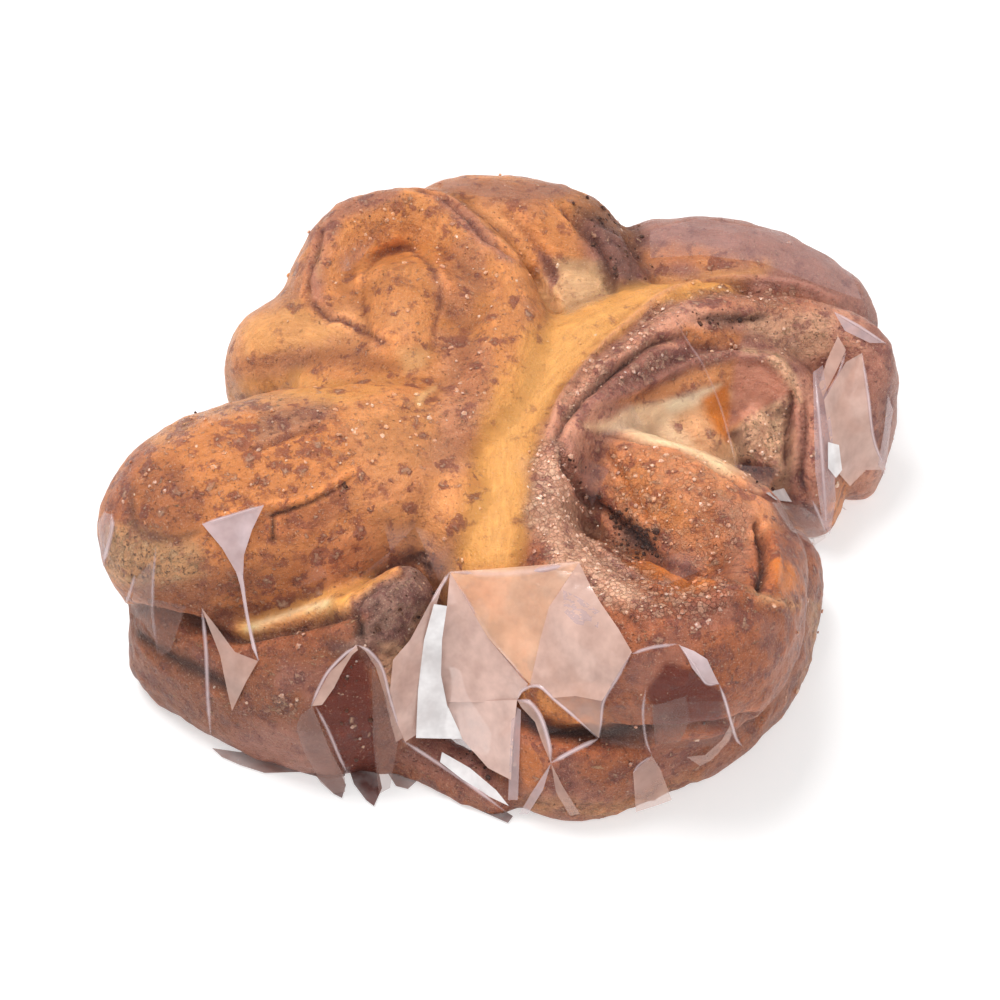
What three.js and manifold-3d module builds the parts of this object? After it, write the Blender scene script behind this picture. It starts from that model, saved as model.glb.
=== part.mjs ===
// A cinnamon bun in its tight clear wrap. The dough is rolled and folded into a curled ear on the left and
// a larger cupped ear on the right, on either side of a pressed middle strip, over thick rolls at the front
// and back. The wrap clings to every fold, so bun and wrap share one outer form.
// Millimetres. +X is to the bun's right, +Y to its back, +Z up. The origin is under the middle, on the table.
import * as THREE from "three";
import { mergeVertices } from "three/addons/utils/BufferGeometryUtils.js";
import Module from "manifold-3d";

// Driving dimensions: the whole bun's width, depth and height.
const BUN_WIDTH = 125;
const BUN_DEPTH = 115;
const BUN_HEIGHT = 43;

// How finely a fold is cut into flat faces.
const SIDES = 14;
const ROW_LENGTH = 3.4;
const FEWEST_ROWS = 8;
const CURVE_SAMPLES = 200;

// A fold's cross-section is a superellipse a little fuller than an ellipse.
const FULLNESS = 2.3;
// Rows are drawn together towards a fold's round ends by this share.
const END_CROWDING = 0.55;
// How deep the trimming block reaches under the table line, and how far past the bun on every side.
const TRIM_MARGIN = 40;

// Every fold follows waypoints, each [x, y, crest, foot, width]: the place of its middle line, the heights
// of its top and its underside, and its full width there. A foot below zero is pressed flat on the table.
const FOLDS = {
  // The mass under the middle that all the folds share.
  middle: [
    [-33, 4, 34, -4, 20],
    [-20, 9, 39, -4, 38],
    [-1, 12, 36.5, -4, 42],
    [21, 20, 23, -4, 32],
    [29, 21, 17, -3, 16],
  ],
  // The roll at the front left that the left lobe lies on, ending in a torn face towards the front notch.
  lowerLeftRoll: [
    [-58.5, -19, 22, -3, 17],
    [-43, -29, 22, -4, 23],
    [-29, -36, 25, -4, 25],
    [-19, -34.5, 30, -4, 24],
    [-11, -31, 33, -2, 22],
  ],
  // The thin lip that runs along the table under the front notch.
  frontLip: [
    [-25, -41.5, 8, -3, 9],
    [-15, -42.5, 7, -3, 9],
    [-7.5, -47.5, 6, -3, 8],
    [1.5, -52.5, 6, -3, 8],
  ],
  // Dough and filling that boiled out of the lower left roll's torn end and set in a rough lump.
  burntEnd: [
    [-11.5, -31.5, 34.5, 12, 8],
    [-16, -34.5, 33.5, 12, 10],
    [-20.5, -37.5, 31.5, 12, 11],
    [-25.5, -40.5, 27.5, 10, 9],
  ],
  // The broad lobe that sweeps from the middle out to the left.
  leftLobe: [
    [-1.5, -2.5, 36, 11, 20],
    [-21.5, -10.5, 42, 9, 33],
    [-35, -14.5, 43, 6, 36],
    [-47.5, -18.5, 41.5, 2, 32],
    [-60, -23, 33.5, -2, 24],
  ],
  // What carries the left lobe behind the lower roll.
  leftBase: [
    [-56, -18, 20, -3, 22],
    [-38, -19, 24, -4, 30],
    [-12, -10, 28, -4, 26],
  ],
  // The shoulder over which the middle falls to the front notch.
  frontShoulder: [
    [-14, -6, 39, -2, 20],
    [-9, -18, 37, -3, 20],
    [-7, -29, 33, -2, 14],
  ],
  smallLeftLobe: [
    [-10.5, 2, 38, 2, 22],
    [-23, 15.5, 38, -3, 23],
    [-34, 22, 34, -4, 20],
    [-43.5, 19.5, 24, -2, 16],
  ],
  // The left ear: a band that curls round its own heart and runs on into the left lobe's top.
  leftCurl: [
    [-26.5, 13, 37, 3, 14],
    [-30, 27.5, 40, -3, 15],
    [-25, 37.5, 42, -4, 16],
    [-13.5, 41, 42, -4, 16],
    [-3, 28, 42, 2, 16],
    [-0.5, 15, 41, 5, 16],
    [-5, -1.5, 40, 6, 17],
    [-18, -12, 41, 13, 18],
    [-31.5, -15, 42, 18, 16],
  ],
  curlHeart: [
    [-17, 33, 41, 17, 16],
    [-16, 20, 42, 16, 17],
    [-16.5, 9, 41, 14, 17],
    [-15.5, 0, 40, 17, 15],
  ],
  // What fills the curl almost level with its band.
  curlBed: [
    [-20, 6, 40, 4, 28],
    [-15, 18, 42.5, -3, 36],
    [-12, 29, 42.5, -3, 34],
    [-9, 36, 40, -3, 22],
  ],
  backLobe: [
    [-21, 44.5, 38, -3, 20],
    [-9, 46, 38.5, -4, 27],
    [6, 44.5, 38, -4, 27],
    [19.5, 38.5, 30, -3, 18],
  ],
  // Filling that boiled out between the two back lobes and set in a dark crest.
  backCrest: [
    [10, 45.5, 37, 20, 8],
    [15.5, 38, 36, 17, 10],
    [21, 30.5, 31, 15, 8],
  ],
  backRightLobe: [
    [14, 39.5, 31.5, -3, 22],
    [26, 43, 32, -4, 25],
    [42, 41, 31, -4, 25],
    [59.5, 33.5, 23, -3, 17],
  ],
  // The pressed strip between the two ears, from the front notch round to the back right.
  pressedStrip: [
    [-2.5, -35.5, 26, 1, 10],
    [-2, -30, 32.5, 0, 16],
    [-2, -20, 36, -2, 23],
    [-0.5, -3.5, 37.2, -3, 29],
    [5.5, 9, 37.2, -3, 27],
    [18, 23, 35, -2, 20],
    [38.5, 32.5, 31, -2, 8],
  ],
  // The low saddle that the strip leaves in front of the back lobe.
  backSaddle: [
    [1, 29, 35, -3, 16],
    [11, 31.5, 33.5, -3, 18],
    [21, 32, 31.5, -3, 14],
  ],
  // The right ear's outer rim: it climbs from the front, runs round the back and falls away on the right.
  rightRim: [
    [5.5, -26.5, 32, 2, 10],
    [6.5, -11, 37, 2, 12],
    [15.5, 6.5, 37, 1, 12],
    [29, 21.5, 35, -3, 13],
    [43.5, 27.5, 31.5, -3, 13],
    [56.5, 25, 27, -3, 12],
    [55.5, 17, 22, -3, 12],
    [52, 11.5, 17, -2, 10],
  ],
  // The next layer in, which shares the rim's foot and stands a little lower.
  rightInnerLayer: [
    [12, 0, 32, 4, 9],
    [28.5, 14.5, 31, -2, 13],
    [39.5, 19, 29, -3, 13],
    [48, 13, 23, -3, 12],
    [47, 2, 17, -2, 10],
  ],
  // The floor inside the right ear, which drops away towards its far wall.
  earFloor: [
    [10, 0, 29, 2, 12],
    [20, 6.5, 27.5, -3, 17],
    [29, 9, 25.5, -3, 20],
    [37, 8, 20.5, -2, 19],
  ],
  // What closes the right ear underneath.
  earBase: [
    [14, -4, 16, -3, 22],
    [28, 0, 16, -3, 30],
    [42, 1, 14, -3, 24],
  ],
  // The torn wall at the far end of that floor.
  tornWall: [
    [32, 15, 24, -3, 12],
    [40, 12, 22.5, -3, 12],
    [45, 5, 16, -3, 9],
  ],
  // The lobe that stands in the right ear like a leaf.
  leafLobe: [
    [9, 2, 30, 8, 9],
    [17, -4, 32, 2, 19],
    [25, -11, 33, -3, 25],
    [35, -18.5, 31, -3, 25],
    [44, -24.5, 27, 0, 20],
  ],
  // The bottom of the pocket between the leaf lobe and the front wrap.
  pocketFloor: [
    [5, -18, 30, -3, 16],
    [16, -29, 28, -4, 20],
    [33, -32, 26.5, -3, 20],
  ],
  // The right ear's front wrap, hooked round the leaf lobe.
  rightFrontWrap: [
    [6, -8.5, 32, 6, 10],
    [6, -27, 34.5, 6, 14],
    [13, -39.5, 36, 10, 17],
    [25, -46, 37, 12, 19],
    [35, -38, 33, 9, 17],
    [42.5, -14.5, 24, 4, 10],
  ],
  frontWall: [
    [-6, -29, 24, 1, 8],
    [1.5, -38.5, 27, -2, 12],
    [9, -44.5, 27, -2, 16],
    [19, -45.5, 26, -2, 18],
  ],
  // The foot that spreads under the front wrap.
  frontFoot: [
    [-1.5, -41, 18, -3, 18],
    [9, -46, 20, -4, 22],
    [26, -39, 20, -4, 22],
    [36, -27.5, 20, -4, 20.5],
    [44.5, -4, 16, -3, 14],
  ],
};

const GLAZED_CRUST = new THREE.MeshStandardMaterial({
  color: 0xb06a33,
  roughness: 0.42,
  metalness: 0,
});

const wasm = await Module();
wasm.setup();

// A closed three.js geometry as a solid that can be joined and cut.
function solidOf(geometry) {
  const bare = geometry.clone();
  bare.deleteAttribute("normal");
  bare.deleteAttribute("uv");
  const merged = mergeVertices(bare);
  return new wasm.Manifold(
    new wasm.Mesh({
      numProp: 3,
      vertProperties: new Float32Array(merged.attributes.position.array),
      triVerts: new Uint32Array(merged.index.array),
    }),
  );
}

function geometryOf(solid) {
  const { vertProperties, triVerts } = solid.getMesh();
  const geometry = new THREE.BufferGeometry();
  geometry.setAttribute("position", new THREE.BufferAttribute(vertProperties, 3));
  geometry.setIndex(new THREE.BufferAttribute(triVerts, 1));
  geometry.computeVertexNormals();
  return geometry;
}

// The share of a fold's length at which a row lies, crowded towards both ends.
function rowPlace(share) {
  const crowded = (1 - Math.cos(Math.PI * share)) / 2;
  return END_CROWDING * crowded + (1 - END_CROWDING) * share;
}

// How far a fold has swelled to its full section at a distance from an end that is rounded over reach.
function roundedEnd(distance, reach) {
  const inside = Math.min(1, distance / reach);
  return Math.sqrt(1 - (1 - inside) ** 2);
}

function superellipse(angle) {
  const bulge = (value) => Math.sign(value) * Math.abs(value) ** (2 / FULLNESS);
  return [bulge(Math.cos(angle)), bulge(Math.sin(angle))];
}

// One fold: a sphere's rows are strung along the smooth curve through the waypoints, and each row takes
// the width and height that the waypoints give there.
function foldGeometry(waypoints) {
  const line = new THREE.CatmullRomCurve3(
    waypoints.map(([x, y, crest, foot]) => new THREE.Vector3(x, y, (crest + foot) / 2)),
  );
  line.arcLengthDivisions = CURVE_SAMPLES;
  const section = new THREE.CatmullRomCurve3(
    waypoints.map(([, , crest, foot, width]) => new THREE.Vector3(width / 2, (crest - foot) / 2, 0)),
    false,
    "catmullrom",
    0.5,
  );
  const length = line.getLength();
  const rows = Math.max(FEWEST_ROWS, Math.round(length / ROW_LENGTH) + 2);
  const geometry = new THREE.SphereGeometry(1, SIDES, rows);
  const { position, uv } = geometry.attributes;
  for (let i = 0; i < position.count; i += 1) {
    const along = rowPlace(1 - uv.getY(i));
    const t = line.getUtoTmapping(along);
    const place = line.getPoint(t);
    const size = section.getPoint(t);
    const tangent = line.getTangent(t);
    const side = new THREE.Vector3(tangent.y, -tangent.x, 0).normalize();
    const up = new THREE.Vector3().crossVectors(side, tangent);
    const reach = Math.min(size.x, size.y, length / 2);
    const swell =
      roundedEnd(along * length, reach) * roundedEnd((1 - along) * length, reach);
    const [across, above] = superellipse(2 * Math.PI * uv.getX(i));
    place.addScaledVector(side, across * size.x * swell);
    place.addScaledVector(up, above * size.y * swell);
    position.setXYZ(i, place.x, place.y, place.z);
  }
  return geometry;
}

// Everything above the table line.
function aboveTable() {
  const reach = 2 * TRIM_MARGIN + BUN_WIDTH;
  const height = BUN_HEIGHT + TRIM_MARGIN;
  const block = new THREE.BoxGeometry(reach, reach, height);
  block.translate(0, 0, height / 2);
  return solidOf(block);
}

// Places the solid on the table under its own middle, and brings its box to the driving dimensions.
function fitToSize(geometry) {
  geometry.computeBoundingBox();
  const { min, max } = geometry.boundingBox;
  geometry.translate(-(min.x + max.x) / 2, -(min.y + max.y) / 2, -min.z);
  geometry.scale(
    BUN_WIDTH / (max.x - min.x),
    BUN_DEPTH / (max.y - min.y),
    BUN_HEIGHT / (max.z - min.z),
  );
}

function wrappedBun() {
  const joined = Object.values(FOLDS)
    .map((waypoints) => solidOf(foldGeometry(waypoints)))
    .reduce((whole, fold) => whole.add(fold));
  const geometry = geometryOf(joined.intersect(aboveTable()));
  fitToSize(geometry);
  const mesh = new THREE.Mesh(geometry, GLAZED_CRUST);
  mesh.name = "wrapped_bun";
  return mesh;
}

const bun = new THREE.Group();
bun.add(wrappedBun());

export default bun;
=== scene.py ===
"""A cinnamon bun in its tight clear wrap: dough rolls folded into two ears, sugar, burnt filling and film."""
import math

import bmesh
import bpy
import numpy as np
import openvdb
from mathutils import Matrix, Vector
from mathutils.bvhtree import BVHTree
from mathutils.geometry import tessellate_polygon
from mathutils.kdtree import KDTree


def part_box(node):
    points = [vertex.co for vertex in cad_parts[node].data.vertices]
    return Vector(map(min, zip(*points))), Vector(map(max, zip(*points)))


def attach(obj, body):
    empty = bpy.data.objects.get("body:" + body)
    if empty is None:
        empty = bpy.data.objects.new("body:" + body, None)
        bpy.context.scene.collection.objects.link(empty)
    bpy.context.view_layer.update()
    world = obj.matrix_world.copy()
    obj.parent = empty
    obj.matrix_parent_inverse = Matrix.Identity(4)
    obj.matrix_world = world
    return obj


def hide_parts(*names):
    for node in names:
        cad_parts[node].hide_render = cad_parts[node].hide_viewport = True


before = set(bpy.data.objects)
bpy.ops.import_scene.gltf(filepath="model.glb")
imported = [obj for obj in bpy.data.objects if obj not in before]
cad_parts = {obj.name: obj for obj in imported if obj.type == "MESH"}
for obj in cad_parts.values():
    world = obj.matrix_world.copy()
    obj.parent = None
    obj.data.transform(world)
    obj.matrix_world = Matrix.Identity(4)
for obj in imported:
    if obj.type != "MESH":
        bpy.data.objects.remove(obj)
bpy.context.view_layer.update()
LOW, HIGH = (np.array(corner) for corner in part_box("wrapped_bun"))

MM = 0.001
CM2 = 1e-4
RNG = np.random.default_rng(7)

# ---------------------------------------------------------------- the folds of the dough, in millimetres
# Every fold follows waypoints, each (x, y, crest, foot, width), as the solid's folds do, and has the
# colour of its crest and the colour of its flanks.
FOLDS = {
    "middle": ("tan_orange", "brown", [
        (-33, 4, 34, -4, 20), (-20, 9, 39, -4, 38), (-1, 12, 36.5, -4, 42), (21, 20, 23, -4, 32),
        (29, 21, 17, -3, 16)]),
    "lower_left_roll": ("roll_brown", "roll_brown", [
        (-58.5, -19, 22, -3, 17), (-43, -29, 22, -4, 23), (-29, -36, 25, -4, 25), (-19, -34.5, 30, -4, 24),
        (-11, -31, 33, -2, 22)]),
    "front_lip": ("purple_brown", "brown", [
        (-25, -41.5, 8, -3, 9), (-15, -42.5, 7, -3, 9), (-7.5, -47.5, 6, -3, 8), (1.5, -52.5, 6, -3, 8)]),
    "burnt_end": ("grey_brown", "grey_brown", [
        (-11.5, -31.5, 34.5, 12, 8), (-16, -34.5, 33.5, 12, 10), (-20.5, -37.5, 31.5, 12, 11),
        (-25.5, -40.5, 27.5, 10, 9)]),
    "left_lobe": ("orange", "brown", [
        (-1.5, -2.5, 36, 11, 20), (-21.5, -10.5, 42, 9, 33), (-35, -14.5, 43, 6, 36),
        (-47.5, -18.5, 41.5, 2, 32), (-60, -23, 33.5, -2, 24)]),
    "left_base": ("brown", "brown", [
        (-56, -18, 20, -3, 22), (-38, -19, 24, -4, 30), (-12, -10, 28, -4, 26)]),
    "front_shoulder": ("orange", "tan_orange", [
        (-14, -6, 39, -2, 20), (-9, -18, 37, -3, 20), (-7, -29, 33, -2, 14)]),
    "small_left_lobe": ("peach", "orange", [
        (-10.5, 2, 38, 2, 22), (-23, 15.5, 38, -3, 23), (-34, 22, 34, -4, 20), (-43.5, 19.5, 24, -2, 16)]),
    "left_curl": ("tan_orange", "tan_orange", [
        (-26.5, 13, 37, 3, 14), (-30, 27.5, 40, -3, 15), (-25, 37.5, 42, -4, 16), (-13.5, 41, 42, -4, 16),
        (-3, 28, 42, 2, 16), (-0.5, 15, 41, 5, 16), (-5, -1.5, 40, 6, 17), (-18, -12, 41, 13, 18),
        (-31.5, -15, 42, 18, 16)]),
    "curl_heart": ("tan_orange", "orange", [
        (-17, 33, 41, 17, 16), (-16, 20, 42, 16, 17), (-16.5, 9, 41, 14, 17), (-15.5, 0, 40, 17, 15)]),
    "curl_bed": ("tan_orange", "orange", [
        (-20, 6, 40, 4, 28), (-15, 18, 42.5, -3, 36), (-12, 29, 42.5, -3, 34), (-9, 36, 40, -3, 22)]),
    "back_lobe": ("tan_orange", "brown", [
        (-21, 44.5, 38, -3, 20), (-9, 46, 38.5, -4, 27), (6, 44.5, 38, -4, 27), (19.5, 38.5, 30, -3, 18)]),
    "back_crest": ("purple_brown", "purple_brown", [
        (10, 45.5, 37, 20, 8), (15.5, 38, 36, 17, 10), (21, 30.5, 31, 15, 8)]),
    "back_right_lobe": ("hazy_mauve", "brown", [
        (14, 39.5, 31.5, -3, 22), (26, 43, 32, -4, 25), (42, 41, 31, -4, 25), (59.5, 33.5, 23, -3, 17)]),
    "pressed_strip": ("pale_gold", "orange", [
        (-2.5, -35.5, 26, 1, 10), (-2, -30, 32.5, 0, 16), (-2, -20, 36, -2, 23), (-0.5, -3.5, 37.2, -3, 29),
        (5.5, 9, 37.2, -3, 27), (18, 23, 35, -2, 20), (38.5, 32.5, 31, -2, 8)]),
    "back_saddle": ("cream", "cream", [
        (1, 29, 35, -3, 16), (11, 31.5, 33.5, -3, 18), (21, 32, 31.5, -3, 14)]),
    "right_rim": ("mauve_brown", "mauve_brown", [
        (5.5, -26.5, 32, 2, 10), (6.5, -11, 37, 2, 12), (15.5, 6.5, 37, 1, 12), (29, 21.5, 35, -3, 13),
        (43.5, 27.5, 31.5, -3, 13), (56.5, 25, 27, -3, 12), (55.5, 17, 22, -3, 12),
        (52, 11.5, 17, -2, 10)]),
    "right_inner_layer": ("purple_brown", "orange", [
        (12, 0, 32, 4, 9), (28.5, 14.5, 31, -2, 13), (39.5, 19, 29, -3, 13), (48, 13, 23, -3, 12),
        (47, 2, 17, -2, 10)]),
    "ear_floor": ("cream", "amber", [
        (10, 0, 29, 2, 12), (20, 6.5, 27.5, -3, 17), (29, 9, 25.5, -3, 20), (37, 8, 20.5, -2, 19)]),
    "ear_base": ("brown", "brown", [(14, -4, 16, -3, 22), (28, 0, 16, -3, 30), (42, 1, 14, -3, 24)]),
    "torn_wall": ("sandy", "sandy", [(32, 15, 24, -3, 12), (40, 12, 22.5, -3, 12), (45, 5, 16, -3, 9)]),
    "leaf_lobe": ("red_orange", "brown", [
        (9, 2, 30, 8, 9), (17, -4, 32, 2, 19), (25, -11, 33, -3, 25), (35, -18.5, 31, -3, 25),
        (44, -24.5, 27, 0, 20)]),
    "pocket_floor": ("brown", "brown", [
        (5, -18, 30, -3, 16), (16, -29, 28, -4, 20), (33, -32, 26.5, -3, 20)]),
    "right_front_wrap": ("red_brown", "red_brown", [
        (6, -8.5, 32, 6, 10), (6, -27, 34.5, 6, 14), (13, -39.5, 36, 10, 17), (25, -46, 37, 12, 19),
        (35, -38, 33, 9, 17), (42.5, -14.5, 24, 4, 10)]),
    "front_wall": ("tan_orange", "orange", [
        (-6, -29, 24, 1, 8), (1.5, -38.5, 27, -2, 12), (9, -44.5, 27, -2, 16), (19, -45.5, 26, -2, 18)]),
    "front_foot": ("red_brown", "brown", [
        (-1.5, -41, 18, -3, 18), (9, -46, 20, -4, 22), (26, -39, 20, -4, 22), (36, -27.5, 20, -4, 20.5),
        (44.5, -4, 16, -3, 14)]),
}
# A fold's section is an ellipse made fuller by this power, and its rows of vertices crowd at its ends.
FULLNESS = 2.3
END_CROWDING = 0.55
FOLD_SIDES = 56
ROW_LENGTH = 0.9
MORE_ROWS = 12
ROUTE_SAMPLES = 400
THINNEST = 1e-3
# The folds are fused on a grid of this size in millimetres, then smoothed by rounds.
VOXEL = 0.75
SMOOTHING = 12
PAINT_SMOOTHING = 7
FLOW_SMOOTHING = 2
FLOW_SHIFT = 40
# The heights on a fold's section, from -1 to 1, between which its flank turns into its crest.
CREST_FROM, CREST_TO = -0.1, 0.8
# Room in millimetres under the bun for the film, and at the start of a line of sight.
WRAP_ROOM = 0.2
SIGHT_ROOM = 0.4

# Lumps of the crust, by what makes them: height and size in millimetres, layers and seed of their noise.
LUMPS = {
    "swells": (0.55, 13, 1, 1),
    "dimples": (0.3, 4.5, 3, 2),
    "mottled": (0.16, 1.5, 2, 5),
    "torn": (0.7, 2.2, 2, 9),
    "flaky": (0.25, 1.6, 2, 12),
    "burnt": (0.5, 1.8, 2, 15),
}
# Noise, as size, layers and seed: what makes drawn edges uneven, and where mottled crust is baked darker.
WOBBLE = (4, 3, 3)
BAKED = (8, 3, 40)
BAKED_FROM, BAKED_TO = 0.0, 0.6
BAKED_SHARE = 0.95

# Painted shade makes the hollows darker and painted light makes the crests lighter: how much, and the heights
# in millimetres between which that grows.
HOLLOW_ROUNDS = 6
PAINTED_SHADE_TINT = np.array((0.52, 0.40, 0.38))
PAINTED_HOLLOW_SHADE = (0.75, 0.03, 0.25)
PAINTED_CREST_LIGHT = (0.35, 0.02, 0.2)

# ---------------------------------------------------------------- the camera, as the photograph was taken
LENS = 160.0
SENSOR = 36.0
CAMERA_DISTANCE = 690.0
CAMERA_ELEVATION = math.radians(45.0)
CAMERA_TARGET = np.array([-1.5, -6.0, 20.0])
PHOTO_SIDE = 1000

# ---------------------------------------------------------------- colours of the crust
# Name: colour as seen (sRGB, 0-255), then how mottled, how flaky and how blistered such crust is.
COLOURS = {
    "pale_gold": (234, 164, 88, 0.14, 0.0, 0.0),
    "light_gold": (236, 170, 98, 0.08, 0.0, 0.0),
    "cream": (246, 190, 130, 0.12, 0.0, 0.0),
    # Pale dough's cream, made lighter still as painted light.
    "cream_and_painted_light": (255, 216, 174, 0.06, 0.0, 0.0),
    "peach": (220, 150, 98, 0.35, 0.05, 0.2),
    "amber": (222, 126, 42, 0.2, 0.0, 0.1),
    # Very dark amber: partly the crust's colour under wet film, partly painted shade in recesses.
    "deep_amber_and_shade": (98, 26, 0, 0.12, 0.15, 0.1),
    "orange": (216, 136, 78, 0.4, 0.0, 1.0),
    "tan_orange": (214, 138, 80, 0.42, 0.05, 0.4),
    "bright_tan": (230, 154, 96, 0.35, 0.05, 0.3),
    # A rosy colour painted as the reflection in a smooth facet of the film.
    "red_orange": (226, 146, 98, 0.35, 0.0, 0.6),
    "painted_rosy_reflection": (214, 144, 118, 0.1, 0.0, 0.0),
    "red_brown": (172, 98, 62, 0.6, 0.2, 0.35),
    "brown": (162, 94, 60, 0.7, 0.25, 0.3),
    "roll_brown": (150, 88, 58, 0.65, 0.3, 0.15),
    "mauve_brown": (206, 144, 118, 0.5, 0.1, 0.4),
    # Sugared mauve crust, made lighter as painted light on a shaded slope.
    "mauve_and_painted_light": (236, 180, 150, 0.4, 0.1, 0.3),
    "hazy_mauve": (166, 114, 100, 0.3, 0.0, 0.1),
    "purple_brown": (156, 102, 88, 0.5, 0.1, 0.3),
    "burnt": (58, 38, 32, 0.3, 0.1, 0.1),
    # Painted shadow, near black, for the deepest creases.
    "painted_crease_shadow": (34, 22, 22, 0.2, 0.1, 0.0),
    "olive": (206, 152, 108, 0.5, 0.75, 0.0),
    "sandy": (222, 172, 138, 0.5, 0.65, 0.1),
    "grey_brown": (144, 106, 92, 0.8, 0.25, 0.2),
    "dull_cream": (206, 162, 122, 0.2, 0.1, 0.0),
    # Painted highlight: a near white that stands in for sheen on smooth crust.
    "painted_sheen": (252, 230, 196, 0.0, 0.0, 0.0),
}

# ---------------------------------------------------------------- relief, drawn over the photograph's frame
# Name: half width and depth in millimetres, and the path in pixels.
GROOVES = {
    "ear_groove": (0.9, 2.2, [
        (556, 440), (562, 420), (580, 398), (600, 380), (622, 364), (645, 345), (665, 337), (695, 338)]),
    "burnt_slit": (0.9, 1.0, [(694, 320), (715, 317), (740, 320), (765, 317)]),
    "layer_gap": (0.6, 0.9, [(690, 345), (720, 348), (745, 345)]),
    "pocket_groove": (1.1, 1.7, [
        (556, 440), (570, 470), (585, 495), (605, 515), (630, 538), (655, 556), (690, 578), (720, 588),
        (745, 590)]),
    "slit_hole": (0.55, 2.4, [(756, 522), (761, 545), (763, 570), (758, 592)]),
    "leaf_crease": (0.7, 1.0, [(600, 433), (650, 442), (690, 452), (720, 470), (750, 487), (775, 500)]),
    "ear_right_crease": (0.6, 1.4, [(792, 388), (789, 410), (787, 440), (784, 470)]),
    "ear_outer_crease": (0.6, 1.2, [(802, 395), (804, 440), (800, 480), (808, 500)]),
    "lobe_crease": (1.0, 2.4, [
        (122, 612), (150, 612), (190, 622), (235, 636), (290, 624), (340, 614), (360, 606)]),
    "lobe_crack": (0.35, 0.8, [(268, 516), (285, 511), (300, 505), (330, 492), (355, 475)]),
    "thin_crack": (0.35, 0.7, [(272, 512), (273, 530), (274, 543)]),
    "curl_spiral": (0.5, 0.4, [
        (385, 252), (405, 248), (425, 258), (436, 275), (440, 300), (435, 335), (428, 360)]),
    "curl_heart_left": (0.4, 0.25, [(372, 335), (364, 315), (362, 290), (368, 268), (385, 252)]),
    "curl_crease": (0.6, 1.1, [(308, 300), (318, 308), (330, 316), (345, 318), (370, 335), (388, 345)]),
    "curl_band": (0.6, 0.9, [(322, 222), (316, 250), (308, 275), (308, 300)]),
    "curl_back": (0.7, 1.2, [
        (410, 189), (440, 195), (465, 212), (485, 235), (505, 248), (530, 272), (548, 295), (560, 312)]),
    "front_crease": (1.5, 3.4, [
        (505, 702), (520, 718), (550, 732), (600, 738), (660, 737), (720, 730), (758, 720)]),
    "roll_band": (1.7, 0.9, [(130, 632), (155, 652), (185, 665), (225, 685), (245, 695)]),
    "lobe_fold": (0.6, 0.9, [(322, 424), (295, 432), (270, 443), (252, 450)]),
    "lump_edge": (0.5, 0.8, [(355, 610), (365, 598), (392, 582), (405, 565), (418, 556), (432, 558)]),
    "lump_crack": (0.7, 1.6, [(352, 612), (360, 624), (362, 640)]),
    "back_fold": (0.8, 0.8, [(500, 205), (520, 225), (540, 250), (556, 285)]),
    "back_crease": (0.9, 1.6, [(560, 200), (582, 225), (598, 255), (615, 290)]),
    "leaf_line": (0.6, 0.6, [(605, 450), (620, 470), (635, 500), (650, 520)]),
    "wrap_line": (0.5, 0.6, [(575, 560), (600, 590), (625, 612), (648, 632)]),
}
RIDGES = {
    "pocket_end": (2.6, 2.4, [(690, 578), (705, 586), (722, 592), (738, 592)]),
    "lobe_fold": (1.2, 0.9, [(330, 412), (300, 420), (275, 432), (256, 446)]),
    "rim_edge": (0.6, 0.8, [
        (548, 428), (562, 398), (583, 370), (612, 336), (650, 304), (690, 285), (740, 277), (800, 284),
        (840, 300)]),
    "rim_lip": (0.6, 0.7, [(566, 410), (600, 374), (625, 355), (655, 338)]),
    "inner_edge": (0.9, 1.2, [
        (592, 402), (640, 386), (680, 367), (710, 358), (740, 356), (775, 362), (790, 385)]),
    "wrap_edge": (0.8, 0.8, [(590, 540), (620, 565), (660, 590), (700, 603), (750, 600), (800, 612)]),
    "spiral_lip": (0.9, 0.4, [(358, 300), (360, 270), (378, 245), (408, 238), (436, 256), (448, 290)]),
    "lobe_edge": (0.9, 0.7, [(204, 520), (264, 504), (296, 502), (332, 485), (359, 466)]),
    "right_ridge": (0.7, 0.9, [(797, 380), (798, 430), (794, 480)]),
    "slit_rim": (0.8, 0.9, [(770, 530), (776, 560), (772, 590)]),
}
# How much of its length a line takes to fade at its ends, how strong its ends are, how uneven its width is.
RELIEF_FADE = (0.12, 0.25, 0.35)
STRIPE_FADE = (0.08, 0.2, 0.4)
# A line reaches this many half widths out, and is laid on the surface in steps of these many pixels.
LINE_REACH = 4
PATH_STEP = 2.0
POINTS_AT_ONCE = 4000

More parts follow.
